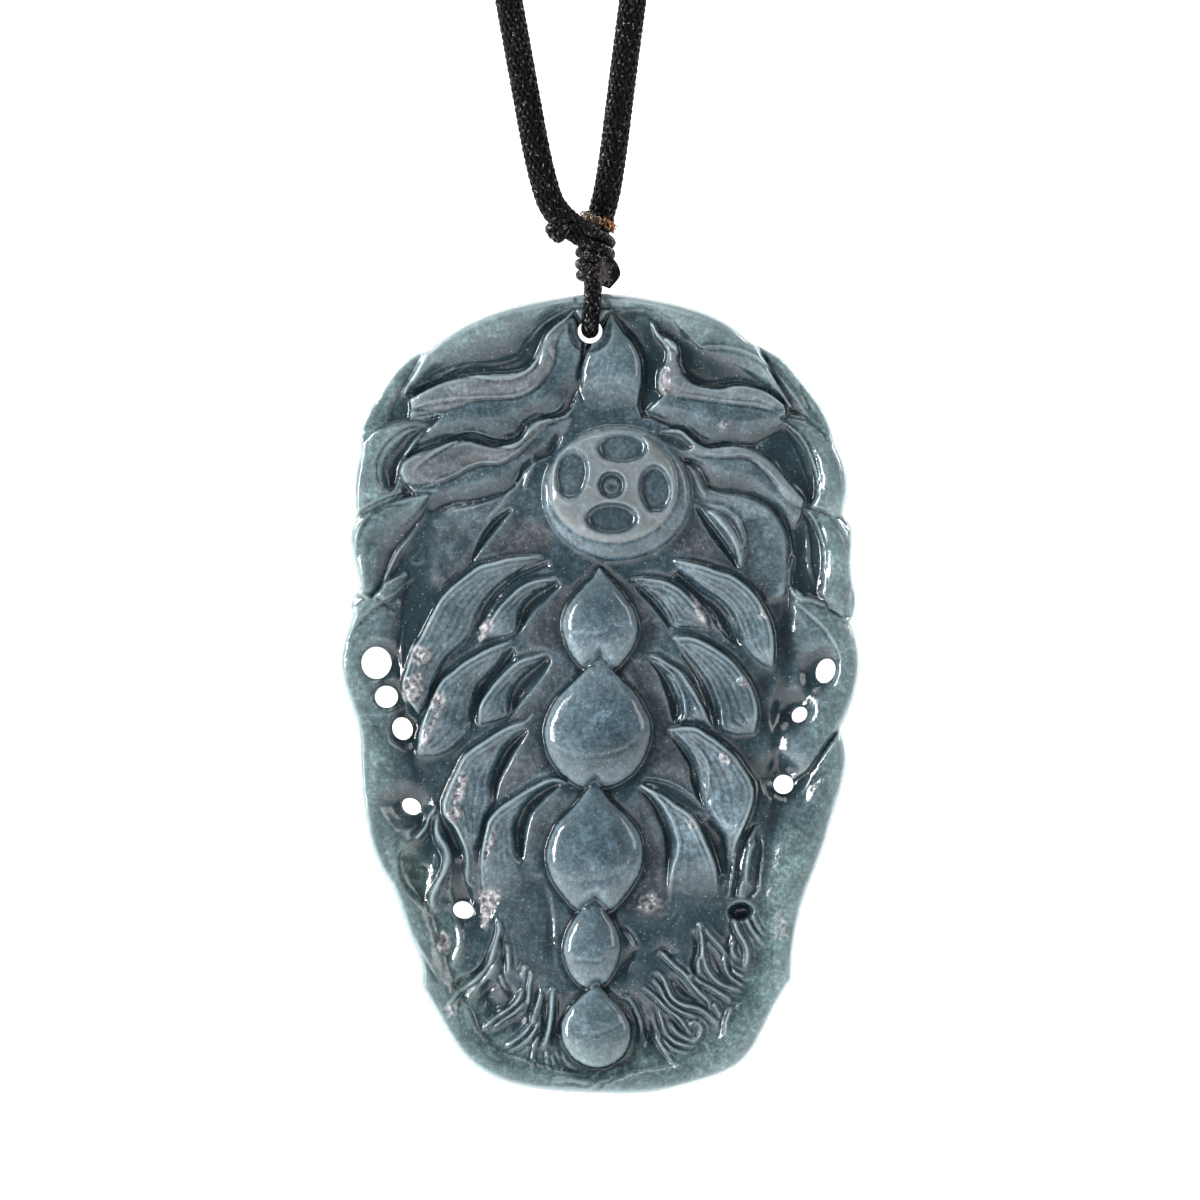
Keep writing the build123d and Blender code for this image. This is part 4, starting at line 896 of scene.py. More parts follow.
# flames at the bottom left
for width, rise, line in rows("""
    0.22 0.75 -10.2,-31.8 -10.1,-33.2 -10.5,-34.6 -11.1,-36.2 -12.1,-37.6 -13.4,-38.7 -14.5,-39.6 -15.4,-40.7;
    0.6 0.55 -10,-34 -10.5,-35.8 -10.9,-37.2 -12,-38.4 -13,-39.8 -13.2,-41.4 -12.6,-43.4;
    0.25 0.7 -9.3,-34.4 -9.2,-35.8 -9.1,-37.4;
    0.16 0.4 -10,-37.3 -9.7,-38.3 -9.1,-39.1;
    0.2 0.5 -7.3,-36.5 -7.9,-37.8;
    0.2 0.65 -6.7,-37.2 -7.05,-38.6 -7.15,-40.6;
    0.22 0.75 -7.7,-38.9 -8.2,-40 -9.3,-41.05 -10.7,-42 -11.9,-43.1;
    0.2 0.5 -7.4,-40.2 -8.6,-41.3 -9.8,-42 -10.7,-42.9;
    0.2 0.65 -6.6,-41.4 -6.8,-42.3 -7.5,-43.2 -8.6,-44.1 -9.5,-44.8;
    0.2 0.5 -6.3,-42.6 -7,-43.8 -8.3,-44.8 -9.3,-45.2;
    0.26 0.85 -4.7,-38.7 -4.8,-40.4 -4.9,-41.8 -5.1,-43 -5.4,-44.1 -5.7,-45;
    0.4 0.4 -5.9,-39.2 -6.3,-40.6 -6.4,-41.8 -6,-43;
    0.16 0.4 -6.1,-43.6 -6.6,-44.8 -6.7,-46 -6.8,-47.1;
    0.16 0.35 -5.2,-45 -5.3,-46.2 -4.8,-47.2;
    0.16 0.3 -4.4,-45 -4,-46.2 -3.6,-47;
    0.2 0.3 -4.8,-48 -2.9,-48 -1.1,-48.2 0.2,-47.1;
    0.3 0.25 -1,-48.8 0.6,-47.8 2,-47;
    0.2 0.7 9.9,-32.2 10.2,-34 10.2,-35.2 9.8,-36.4 9.9,-37.4;
    0.2 0.7 10.2,-34.6 10.5,-36.3 11.1,-37.5 12.1,-38.4 13.4,-38.9 14.3,-39;
    0.2 0.55 9.9,-32.2 10.9,-33.4 12,-34.6 12.6,-35.4 12.5,-36.4 12.9,-37.5 13.8,-38.2 14.8,-38.9;
    0.25 0.9 13.3,-31.9 13.9,-33.3 14.5,-34.3 14.8,-35.5 14.5,-36.9;
    0.2 0.5 13.3,-34 13.3,-35.3 13.75,-35.9;
    0.22 0.6 13.1,-37 13.6,-37.4 14.4,-37.7;
    0.2 0.55 14.6,-31.8 15.2,-33 15.9,-33.9 16.8,-34.8;
    0.2 0.4 15.2,-31.4 15.9,-32.9 17,-33.75;
    0.22 0.6 8.75,-36.6 9.3,-37.7 10.4,-38.4 11.6,-39.1 12.7,-39.8 13.3,-40.5;
    0.32 0.8 13.2,-40.8 12.7,-42.2 12.5,-43.7;
    0.2 0.6 11.4,-40.3 11.8,-41.2 12.2,-41.6;
    0.22 0.7 5.7,-35.6 6.1,-35.2 6.8,-35.9 7.5,-36.6 8.6,-37.5 9.6,-38.9 10.7,-40 11.3,-41;
    0.22 0.75 5.4,-37.1 6.25,-37.7 6.8,-38.9 7.3,-39.8 8.4,-40.5 10,-40.9 10.9,-41.6 12,-42.6;
    0.18 0.5 5.2,-37.8 6,-38.8 6.6,-40 7.7,-41 9.2,-41.6 10.2,-42.3;
    0.18 0.55 4.3,-38.6 5.4,-39.6 6.6,-40.7 7.7,-41.6 8.4,-42.5 9.1,-43.6;
    0.2 0.6 7,-42.1 7.5,-43.1 8.4,-43.75 9.3,-44.1 10,-43.6 10.1,-42.7 9.4,-42.2 8.9,-42.7 9.2,-43.3;
    0.2 0.65 5.9,-41.2 6.25,-42.5 6.6,-43.5 7.7,-44.3 8.9,-44.6 9.8,-44.3;
    0.18 0.45 6.2,-43.6 7.1,-44.7 8.4,-45.3 9.6,-45.2;
    0.2 0.5 5.5,-43.4 6.4,-45.1 7.5,-46.5 8.3,-47.1;
    0.16 0.4 10.4,-44.2 11.2,-45.1;
    0.3 0.4 2.4,-39.6 3.2,-40.2 3.75,-41.4 4.3,-43;
    0.25 0.35 2.1,-33 2.9,-33.8 3.4,-34.8"""):
    ridge(line, 0.8 * width, 0.8 * rise, ends=(0.12, 0.18))
    for way in (-1, 1):
        groove(beside(line, way * (1.3 * width + 0.12)), 0.09, 0.22, ends=(0.15, 0.25))
        ridge(beside(line, way * (2.1 * width + 0.2)), 0.10, 0.16, ends=(0.25, 0.35))
for width, depth, line in rows("""
    0.25 0.3 -9.9,-33 -10,-34.4 -9.7,-36.4;
    0.22 0.5 -11.2,-35.2 -11.4,-36.4 -12.3,-37.2 -13.9,-38.1 -15,-39.3;
    0.8 0.5 -10.8,-38 -11.2,-39.4 -10.6,-40.8 -11,-42;
    0.4 0.45 -9.4,-38.2 -8.8,-39.8 -9.8,-41;
    0.3 0.5 -6.3,-38 -6.5,-40 -7.4,-41.6 -8.8,-43.2;
    0.25 0.5 -5.4,-39 -5.5,-42 -6,-44.4;
    0.25 0.5 -4.3,-39.6 -4.4,-42.4 -4.9,-44.4;
    0.3 0.4 -7.9,-41.4 -9.4,-42.8 -10.8,-43.6;
    0.2 0.4 8.2,-29 7.9,-31 7.2,-32.4;
    0.22 0.35 12.6,-30.4 13.2,-32.6 12.6,-34.6 13,-36.8 13.8,-38 15,-38.4;
    0.3 0.6 9.5,-33 9.7,-35 9.3,-36.6 9.5,-38;
    0.35 0.45 7.3,-37.4 8.2,-38.9 9.4,-39.9 10.8,-41;
    0.3 0.35 10.8,-34.6 11.6,-36.2 12.2,-37.4 13.6,-38.5;
    0.16 0.4 6.9,-41.6 7.8,-42.6 8.6,-43.4;
    0.16 0.4 5.4,-40.4 6.2,-43 7.2,-44.6 8.8,-45;
    0.35 0.45 4.6,-42 5.4,-44.4 6.8,-46.6;
    0.5 0.45 3.2,-39.2 4.4,-41.4 4.8,-43.6 5,-45.8;
    0.4 0.35 3.6,-34.6 2.7,-36.2 2.3,-38;
    0.35 0.4 5.6,-34.9 6.6,-35 7.6,-35.9;
    0.4 0.35 2.9,-40.6 3.6,-43 3.2,-45.6 1.8,-47.2;
    0.3 0.35 -4.6,-45.4 -3,-47.1 -0.4,-47.8 2.6,-47.4"""):
    groove(line, width, depth)

# chipped, rough places; their pale colour is partly painted glare
for (outline,) in rows("""
    -18.7,-4.7 -17.4,-4.8 -16.8,-5.6 -17.6,-6.4 -18.7,-6.2;
    -18,-7.3 -17.8,-9.2 -18.6,-10.2 -19.7,-9.8 -19.7,-8.4 -19,-7.6;
    -16.1,-9.1 -15.5,-10 -16.4,-10.8 -17,-10.5;
    -15.6,-10.5 -16.2,-11.6 -16.8,-13 -17.9,-15.2 -17.2,-13 -16.5,-11.4;
    -13.9,-17.2 -13.3,-17.4 -13.4,-18.5 -13.8,-19.9 -14.6,-20.3 -14.9,-19.7 -14.5,-18.7 -14.2,-17.8;
    -15.5,-21.4 -14.3,-20.6 -13.9,-21 -14.3,-22.1 -14.7,-22.3;
    -10.5,-22.6 -10.4,-23.3 -10.9,-24.75 -11.4,-25.8 -11.6,-26.5 -11.5,-25.1 -11.1,-23.7;
    -12,-29.2 -10.3,-29 -10.1,-30 -10.9,-31.4 -11.3,-32.8 -11.8,-32.6 -11.9,-30.6;
    -11,-1.9 -10.8,-2.6 -11.6,-4 -12.1,-3.9 -11.9,-2.6;
    16,-1 16.8,-1.9 16.2,-1.9 15.8,-1.5;
    14.2,-7.6 15,-8.7 14.2,-8.7 13.8,-8.2;
    12.2,-15.2 13.3,-16.2 12.6,-16.3 12,-15.9;
    9,-22 9.9,-22.7 9.2,-22.9 8.8,-22.6;
    17.6,-31 18.4,-31 18.8,-33 18.4,-33.9 17.2,-33.8 17.2,-32.8;
    4.2,-29.6 5.6,-29.4 6,-30.6 4.8,-31.2 3.9,-30.6;
    9.1,0.6 9.9,-0.5 10.6,-1.9 10.1,-2.2 9.6,-1.4;
    -15.9,-33.2 -15.2,-33.6 -15.3,-35.4 -16.2,-35;
    -15.6,-40.9 -15,-40.4 -14.7,-41.4 -15.3,-41.5;
    6.6,23.1 6.9,22 6.7,20.8 6.3,20.5 6,21.2 6.1,22.2;
    12.2,17.8 12.8,17.6 12.4,17.2 12,17.4"""):
    chip_and_glare(outline)

# thin edge lines
for width, depth, line in rows("""
    0.25 0.45 24.2,-12.4 22.6,-14.6 21,-16.7;
    0.3 0.3 -20.4,-1.2 -22.4,0.2 -24.2,0.9;
    0.5 0.25 -19.9,0.6 -22.6,-1.2 -24.6,-3.2;
    0.5 0.2 -21.4,-14 -22.6,-12.2 -24.2,-9.2;
    0.5 0.15 -22.8,-14.5 -23.4,-17.5 -23.2,-20.5;
    0.5 0.2 -20.5,-28 -21.6,-24.8 -22.2,-21.4;
    0.4 0.2 19.8,-21 21.2,-18.5 22.8,-17;
    0.22 0.35 -19.4,20.6 -18.4,22.9 -17.3,25;
    0.22 0.4 15,26.2 16.5,24.3 17.5,22 18.8,19.8 20.5,18.2;
    0.2 0.3 19.8,21.7 20.6,20.2 21.2,18.6"""):
    groove(line, width, depth)
groove("6.8,-37.6 8.2,-39.4", 0.2, 0.2)

# Blind pit, and collars of the holes
PIT, PIT_DEPTH = (14.1, -31.2, 2.3, 1.7), 1.4
HANGING_U, HANGING_V = -1.0, 26.95
H -= PIT_DEPTH * np.clip((1.15 - oval(*PIT)) / 0.45, 0, 1)
COLLARS = [  # middle, size, tilt, width of the wall, depth, and shift of the collar
    (-22.4, -6.3, 3.0, 3.2, 0, 0.30, 0.5, 0.3, 0.2), (-21.4, -9.7, 2.3, 2.2, 0, 0.35, 0.6, 0.2, 0.2),
    (-19.8, -12.9, 2.0, 2.3, 20, 0.5, 0.8, 0.4, 0.0), (-18.9, -20.7, 2.0, 1.6, -30, 0.8, 1.1, -0.5, -0.2),
    (-13.7, -31.1, 2.1, 1.7, -15, 0.8, 0.9, 0.5, 0.3), (22.6, -7.1, 1.9, 2.5, -20, 0.6, 1.1, -0.7, 0),
    (20.0, -11.5, 1.7, 1.4, 45, 0.8, 1.1, -0.6, 0.4), (18.4, -18.5, 2.0, 1.9, 0, 0.8, 1.1, -0.1, 0.7),
    (HANGING_U, HANGING_V, 2.44, 2.44, 0, 0.45, 0.5, 0, 0),
]
for cx, cy, wide, high, tilt, wall, deep, shift_u, shift_v in COLLARS:
    d = (oval(cx + shift_u, cy + shift_v, wide, high, tilt) - 1) * min(wide, high) / 2
    H -= deep * np.exp(-np.clip(d, 0, None) ** 2 / (2 * wall**2)) * (d < 3 * wall)

# Keeps the stone clear of the cord in the hanging hole
LANE_LEVEL, HOLE_LEVEL = 1.9, 1.75
near_hole = np.hypot(UU - HANGING_U, VV - HANGING_V) < 2.2
cord_lane = (np.abs(UU + 0.9) < 1.6) & (VV > 26) & (VV < 31.5)
H[cord_lane] = np.minimum(H[cord_lane], LANE_LEVEL)
H[near_hole] = np.minimum(H[near_hole], HOLE_LEVEL)

# Calmer places: the lower right border, and a few patches
calm = np.clip((4.2 - edge) / 1.4, 0, 1) * np.clip((-20 - VV) / 4, 0, 1) * np.clip((UU - 6) / 3, 0, 1)
for cu, cv, wide, high, power in ((-16.9, 6.6, 1.2, 2.2, 2), (10.0, -30.0, 3.2, 1.4, 4),
                                  (-9.2, -27.9, 3.2, 1.4, 4)):
    calm = np.maximum(calm, np.exp(-((UU - cu) / wide) ** power - ((VV - cv) / high) ** 2))
H += 0.85 * calm * (blur(H, 1.0) - H)
# less pale chip colour and painted glare on the lower right
CHIP_AND_GLARE[(UU > 2) & (VV < -26)] *= 0.35
# Fine line inside the upper edge, uneven surface, soft grooves and the rounded outer edge
ROUNDING = 1.35
H -= 0.13 * np.exp(-((edge - 1.0) / 0.15) ** 2) * np.clip((VV - 12) / 6, 0, 1)
H += 0.028 * UNEVEN + 0.008 * ROUGH
gentle = blur(H, 0.34)
H = np.where(H < gentle, 0.45 * H + 0.55 * gentle, H)
round_top = -0.2 + 3.0 * np.sqrt(np.clip(1 - (1 - np.clip(edge / ROUNDING, 0, 1)) ** 2, 0, 1))
H = blur(np.where(edge < ROUNDING, np.minimum(H, round_top), H), 0.07)
WARM = blur(WARM, 0.3)


# Mesh of the stone: rings round every edge, squares inside and triangles between them
def sample(field, points):
    """Bilinear reading of a painted field."""
    x = np.clip((points[:, 0] - LEFT) / GRID, 0, field.shape[1] - 1.001)
    y = np.clip((points[:, 1] - FOOT) / GRID, 0, field.shape[0] - 1.001)
    c, r = x.astype(int), y.astype(int)
    fx, fy = x - c, y - r
    return (field[r, c] * (1 - fx) * (1 - fy) + field[r, c + 1] * fx * (1 - fy)
            + field[r + 1, c] * (1 - fx) * fy + field[r + 1, c + 1] * fx * fy)


def inward(ring, sign):
    """Unit ways into the stone at the points of a loop."""
    t = unit(np.roll(ring, -1, 0) - np.roll(ring, 1, 0))
    return sign * np.column_stack([-t[:, 1], t[:, 0]])


def skin(step, offsets):
    """Points and faces of one side of the stone, seen from the front, with the loops' rings first."""
    points, faces, rings = [], [], []
    start = 0
    for number, ring in enumerate(stone_loops):
        way = inward(ring, 1 if number == 0 else -1)
        ids = []
        for off in offsets:
            points.append(ring + way * off)
            ids.append(np.arange(start, start + len(ring)))
            start += len(ring)
        for a, b in zip(ids, ids[1:]):
            a2, b2 = np.roll(a, -1), np.roll(b, -1)
            faces.extend(np.stack([a, a2, b2, b] if number == 0 else [a, b, b2, a2], -1).tolist())
        rings.append(ids)
    # squares that are deep enough in the stone
    margin = offsets[-1] + 0.45 * step
    px, py = np.meshgrid(np.arange(LEFT, RIGHT + step, step), np.arange(FOOT, TOP + step, step))
    deep = sample(depth_in, np.column_stack([px.ravel(), py.ravel()])).reshape(px.shape) > margin
    cells = deep[:-1, :-1] & deep[1:, :-1] & deep[:-1, 1:] & deep[1:, 1:]
    used = np.zeros(px.shape, bool)
    for dr in (0, 1):
        for dc in (0, 1):
            used[dr:dr + cells.shape[0], dc:dc + cells.shape[1]] |= cells
    index = np.full(px.shape, -1)
    index[used] = start + np.arange(used.sum())
    points.append(np.column_stack([px[used], py[used]]))
    r, c = np.nonzero(cells)
    faces.extend(np.stack([index[r, c], index[r, c + 1], index[r + 1, c + 1], index[r + 1, c]], -1).tolist())
    points = np.vstack(points)
    # triangles between the border of the squares and the last rings
    bands = []
    for (r0, c0), (r1, c1), there in (((0, 0), (0, 1), np.pad(cells, ((1, 0), (0, 0)))[:-1]),
                                      ((1, 0), (1, 1), np.pad(cells, ((0, 1), (0, 0)))[1:]),
                                      ((0, 0), (1, 0), np.pad(cells, ((0, 0), (1, 0)))[:, :-1]),
                                      ((0, 1), (1, 1), np.pad(cells, ((0, 0), (0, 1)))[:, 1:])):
        rr, cc = np.nonzero(cells & ~there)
        bands.append(np.stack([index[rr + r0, cc + c0], index[rr + r1, cc + c1]], -1))
    last_rings = [ids[-1] for ids in rings]
    border = np.vstack(bands + [np.stack([a, np.roll(a, -1)], -1) for a in last_rings])
    keep = np.unique(border)
    local = {int(k): i for i, k in enumerate(keep)}
    edges = [(local[int(a)], local[int(b)]) for a, b in border]
    new_verts, _, tris, origin, *_ = geometry.delaunay_2d_cdt(
        [Vector(points[k]) for k in keep], edges, [], 0, 1e-7)
    ids, extra = [], []
    for v, o in zip(new_verts, origin):
        if o:
            ids.append(int(keep[o[0]]))
        else:
            ids.append(len(points) + len(extra))
            extra.append((v.x, v.y))
    if extra:
        points = np.vstack([points, extra])
    tri = np.array([[ids[i] for i in t] for t in tris])
    mid = points[tri].mean(1)
    ok = in_ring(points[last_rings[0]], *mid.T)
    for other in last_rings[1:]:
        ok &= ~in_ring(points[other], *mid.T)
    cell_c = np.clip(((mid[:, 0] - LEFT) / step).astype(int), 0, cells.shape[1] - 1)
    cell_r = np.clip(((mid[:, 1] - FOOT) / step).astype(int), 0, cells.shape[0] - 1)
    tri = tri[ok & ~cells[cell_r, cell_c]]
    p = points[tri]
    way_round = np.cross(p[:, 1] - p[:, 0], p[:, 2] - p[:, 0])
    tri[way_round < 0] = tri[way_round < 0][:, ::-1]
    faces.extend(tri[np.abs(way_round) > 1e-10].tolist())
    return points, faces, rings


# Depth inside the stone, for the squares and the back
depth_in = np.where(solid, edge, -1.0)
for ring in stone_loops[1:]:
    w = window(ring, 3.0)
    d = reach(np.vstack([ring, ring[:1]]), w)[0]
    depth_in[w] = np.minimum(depth_in[w], np.where(inside(ring, w), -d, d))

FRONT_STEP, FRONT_OFFSETS = 0.145, (0.0, 0.05, 0.13)
BACK_STEP, BACK_OFFSETS, BACK_Y = 1.2, (0.0, 0.12, 0.4), 1.6
MOST_FACES = 182000
front_points, faces, rings = skin(FRONT_STEP, FRONT_OFFSETS)
# flank: the greener border of the lower half; low ground: painted shade, darker where the stone is low
flank = np.clip((6.2 - edge) / 2.4, 0, 1) * np.clip((-19 - VV) / 5, 0, 1)
painted_low_shade = np.clip((2.45 - blur(H, 0.12)) / 1.1, 0, 1) * np.clip(edge / 4, 0, 1) * (1 - 0.75 * flank)
LOOKS = {  # field for the material, and its value on the back and the walls
    # hollow: painted shade in the grooves, painted highlight on the crests
    "warm": (WARM, 0.0), "hollow": ((H - blur(H, 0.2)) * 4.2 + (H - blur(H, 1.1)) * 0.6, 0.0),
    # low: painted shade; rim: greener stone tone, and painted light shining through the thin edge
    "low": (painted_low_shade, 0.0), "rim_tone_and_glow": (np.maximum(np.exp(-edge / 4), 0.75 * flank), 0.4),
    # chips: pale broken places, partly painted glare; pale: the disc's paler face, and painted shade in its
    # hollows
    "chips_and_glare": (blur(CHIP_AND_GLARE, 0.08), 0.0), "pale": (blur(DISC_PALE_AND_SHADE, 0.06), 0.0),
}
back_points, back_faces, back_rings = skin(BACK_STEP, BACK_OFFSETS)
back_depth = np.clip(sample(depth_in, back_points), 0, None)
back_y = BACK_Y - 0.55 * np.exp(-(back_depth / 0.22) ** 1.2) - 0.10 * np.exp(-back_depth / 5)
front_count = len(front_points)
verts = np.vstack([np.column_stack([p[:, 0] + SHIFT_X, y, p[:, 1] + SHIFT_Z])
                   for p, y in ((front_points, -sample(H, front_points)), (back_points, back_y))])
faces += [[i + front_count for i in f][::-1] for f in back_faces]
# walls between the edges of both sides
walls, count = [], len(verts)
for number, (front, back) in enumerate(zip(rings, back_rings)):
    a, b = front[0], back[0] + front_count
    middle = np.arange(count, count + len(a))
    count += len(a)
    walls.append((verts[a] + verts[b]) / 2)
    for lower, upper in ((b, middle), (middle, a)):
        l2, u2 = np.roll(lower, -1), np.roll(upper, -1)
        faces.extend(np.stack([lower, l2, u2, upper] if number == 0 else [lower, upper, u2, l2], -1).tolist())
stone = make_object("carved_stone", np.vstack([verts] + walls), faces, {
    key: np.concatenate([sample(field, front_points), np.full(count - front_count, elsewhere)])
    for key, (field, elsewhere) in LOOKS.items()})
thinning = stone.modifiers.new("thinning", "DECIMATE")
thinning.ratio = min(1.0, MOST_FACES / sum(len(f) - 2 for f in faces))
with bpy.context.temp_override(object=stone, active_object=stone, selected_objects=[stone]):
    bpy.ops.object.modifier_apply(modifier="thinning")

# Thin cord: its loop through the hanging hole
THIN_STRANDS = 8


def thin_braid(name, path, half_n, half_b, pitch, wave, wide, thick, side=(0.0, -1.0, 0.0), step=0.07):
    """A braided thin cord along a few points, with these half sizes on its two normals."""
    line = resample(smooth(path, 0.1, 3), step)
    inset = wave + thick / 2
    lines, ups = [], []
    for hand in (1, -1):
        a, b = braid_lines(line, THIN_STRANDS, pitch, hand, half_n - inset, half_b - inset, wave, side)
        lines += a
        ups += b
    return tubes(name, lines, ups, wide, thick)


bail = thin_braid("bail_braid", [
    (3.35, -2.4, -282.6), (3.33, -2.62, -284.5), (3.25, -2.82, -286.0), (3.10, -2.78, -287.4),
    (3.0, -2.1, -288.35), (3.0, -1.0, -288.6), (3.0, 1.0, -288.6), (3.0, 2.1, -288.35),
    (3.02, 2.78, -287.4), (3.12, 2.82, -286.0), (3.25, 2.62, -284.5), (3.25, 2.4, -282.6)],
    half_n=0.92, half_b=0.92, pitch=8.6, wave=0.07, wide=0.50, thick=0.20)

# Knot: turns of the thin cord that slope down to the right, on a plain core
KNOT_X, KNOT_TOP, KNOT_HIGH, KNOT_SLOPE = 3.55, -278.85, 5.5, 0.28
TURNS = 4.5
coil = []
for a in np.linspace(0, TURN * TURNS, 230):
    share = a / (TURN * TURNS)
    low_part = np.clip((share - 0.72) / 0.28, 0, 1)
    tuck = np.clip((share - 0.84) / 0.16, 0, 1) ** 1.4  # lifts the last half turn clear of the stone
    half_x, half_y = 1.50 - 0.55 * low_part**1.5, 3.0 - 0.15 * low_part
    x = KNOT_X + 0.02 + half_x * math.cos(a + math.pi) - 0.12 * share - 0.2 * low_part
    coil.append((x, half_y * math.sin(a + math.pi),
                 KNOT_TOP - KNOT_HIGH * share - KNOT_SLOPE * (x - KNOT_X) + 0.72 * tuck))
knot = thin_braid("knot_turns", coil, half_n=0.60, half_b=0.54, pitch=5.2, wave=0.06, wide=0.34, thick=0.18,
                  side=(-1.0, 0.0, 0.0), step=0.085)

CORE_SIDES = 32
CORE_RINGS = ((-279.1, 0.5, 1.2), (-279.4, 1.1, 2.5), (-280.2, 1.45, 2.9), (-281.5, 1.5, 2.9),
              (-283.0, 1.4, 2.8), (-283.6, 1.1, 2.7), (-284.0, 0.6, 2.2))  # height and half sizes
core_verts = [(KNOT_X - 0.1 + rx * math.cos(t), ry * math.sin(t), z) for z, rx, ry in CORE_RINGS
              for t in np.linspace(0, TURN, CORE_SIDES, endpoint=False)]
here = np.arange(len(core_verts)).reshape(-1, CORE_SIDES)
core_faces = np.stack([here[1:], np.roll(here[1:], -1, 1), np.roll(here[:-1], -1, 1), here[:-1]], -1)
core_faces = core_faces.reshape(-1, 4).tolist() + [here[0].tolist(), here[-1][::-1].tolist()]
knot_core = make_object("knot_core", core_verts, core_faces)
bm = bmesh.new()
bm.from_mesh(knot_core.data)
bmesh.ops.recalc_face_normals(bm, faces=bm.faces)
bm.to_mesh(knot_core.data)
bm.free()

# Turn of thin cord round the bend of the neck cord
front_way = unit(np.array([-3.62, 0, 1.9]))
next_way = unit(np.array([-1.63, 0.32, 4.6]))
bend_out, bend_along = unit(front_way - next_way), unit(front_way + next_way)
bend_across = np.cross(bend_along, bend_out)
hitch_centre = np.array([-0.0569, -1.5688, -277.573]) - 0.80 * bend_along
hitch_line = [hitch_centre + (1.1 + 0.36 * math.cos(a) ** 2) * (math.cos(a) * bend_out
                                                                 + math.sin(a) * bend_across)
              for a in np.radians(np.linspace(-104, 104, 24))]
hitch = thin_braid("hitch_braid", hitch_line, half_n=1.15, half_b=0.62, pitch=6.0, wave=0.06, wide=0.48,
                   thick=0.20, side=tuple(bend_along))


def upright(lines, way):
    """The same up way at every point of some lines."""
    return [np.tile(way, (len(line), 1)) for line in lines]


# Gold thread: fine twisted filaments round the foot of the right-hand strand
GOLD_RADIUS = 1.53
rng = np.random.default_rng(7)
thread_centre = np.array([3.72, 1.6, -277.68])
thread_axis = unit(np.array([0.336, 0, 0.942]))
thread_side = unit(np.cross(thread_axis, (0, 1, 0)))
thread_depth = np.cross(thread_axis, thread_side)
filaments = []
for k in range(24):
    a = np.linspace(0, TURN, 300)
    turns, frays = rng.integers(7, 13), rng.integers(15, 32)
    lean = rng.uniform(0.22, 0.62)
    wobble = 0.10 * np.sin(a * rng.integers(2, 7) + rng.uniform(0, 6))
    r = GOLD_RADIUS + lean * (0.45 * np.cos(turns * a + rng.uniform(0, 6))
                              + 0.25 * np.cos(frays * a + rng.uniform(0, 6)))
    h = wobble + lean * (0.6 * np.sin(turns * a + rng.uniform(0, 6))
                         + 0.4 * np.sin(frays * a + rng.uniform(0, 6)))
    filaments.append(thread_centre + thread_axis * h[:, None] + r[:, None] * (
        np.cos(a)[:, None] * thread_side + np.sin(a)[:, None] * thread_depth))
for k in range(7):
    base = thread_centre - 1.75 * math.cos(0.1 * k) * thread_side + thread_axis * rng.uniform(-0.25, 0.25)
    tip = base + np.array([rng.uniform(-0.3, 0.55), rng.uniform(-0.9, 0.1), rng.uniform(-0.4, 0.25)])
    mid = (base + tip) / 2 + rng.uniform(-0.15, 0.15, 3)
    filaments.append(smooth([base, mid, tip], 0.06, 3))
thread = tubes("gold_filaments", filaments, upright(filaments, (0.0, -1.0, 0.2)),
               wide=0.09, thick=0.07, sides=4)

# Worn fibres and loose strands at the right of the knot
WORN_CENTRE, WORN_SPREAD = np.array([4.32, -3.28, -282.95]), (0.26, 0.07, 0.58)
fibres = []
for k in range(170):
    a0, a1 = rng.uniform(0, TURN, 2)
    centre = WORN_CENTRE + rng.normal(0, 1, 3) * WORN_SPREAD
    t = np.linspace(0, rng.uniform(1.5, 4), 20)
    size = rng.uniform(0.10, 0.30)
    fibres.append(centre + np.column_stack([size * np.cos(t + a0), 0.35 * size * np.sin(1.3 * t + a1),
                                            size * np.sin(t * 0.9 + a1) - 0.05 * t]))
fibre = tubes("worn_fibres", fibres, upright(fibres, (0.0, -1.0, 0.2)), wide=0.075, thick=0.06, sides=4)
loose = []
for k, (bow, y) in enumerate(((0.95, -2.9), (0.62, -3.05), (0.30, -3.2), (0.0, -3.3))):
    top, foot = (5.1 - 0.16 * k, y + 0.3, -281.6 - 0.12 * k), (4.85 - 0.15 * k, y + 0.3, -284.6 + 0.05 * k)
    loose.append(smooth([top, (5.1 + 0.62 * bow, y, -282.4), (5.15 + 0.74 * bow, y, -283.4), foot], 0.08, 3))
strands = tubes("loose_strands", loose, upright(loose, (0.3, -1.0, 0.0)), wide=0.30, thick=0.28, sides=8)


# Materials
def srgb(*colour):
    """A colour given as 0 to 255, in linear light."""
    return tuple(c / 12.92 if c <= 0.04045 else ((c + 0.055) / 1.055) ** 2.4 for c in (v / 255 for v in colour))


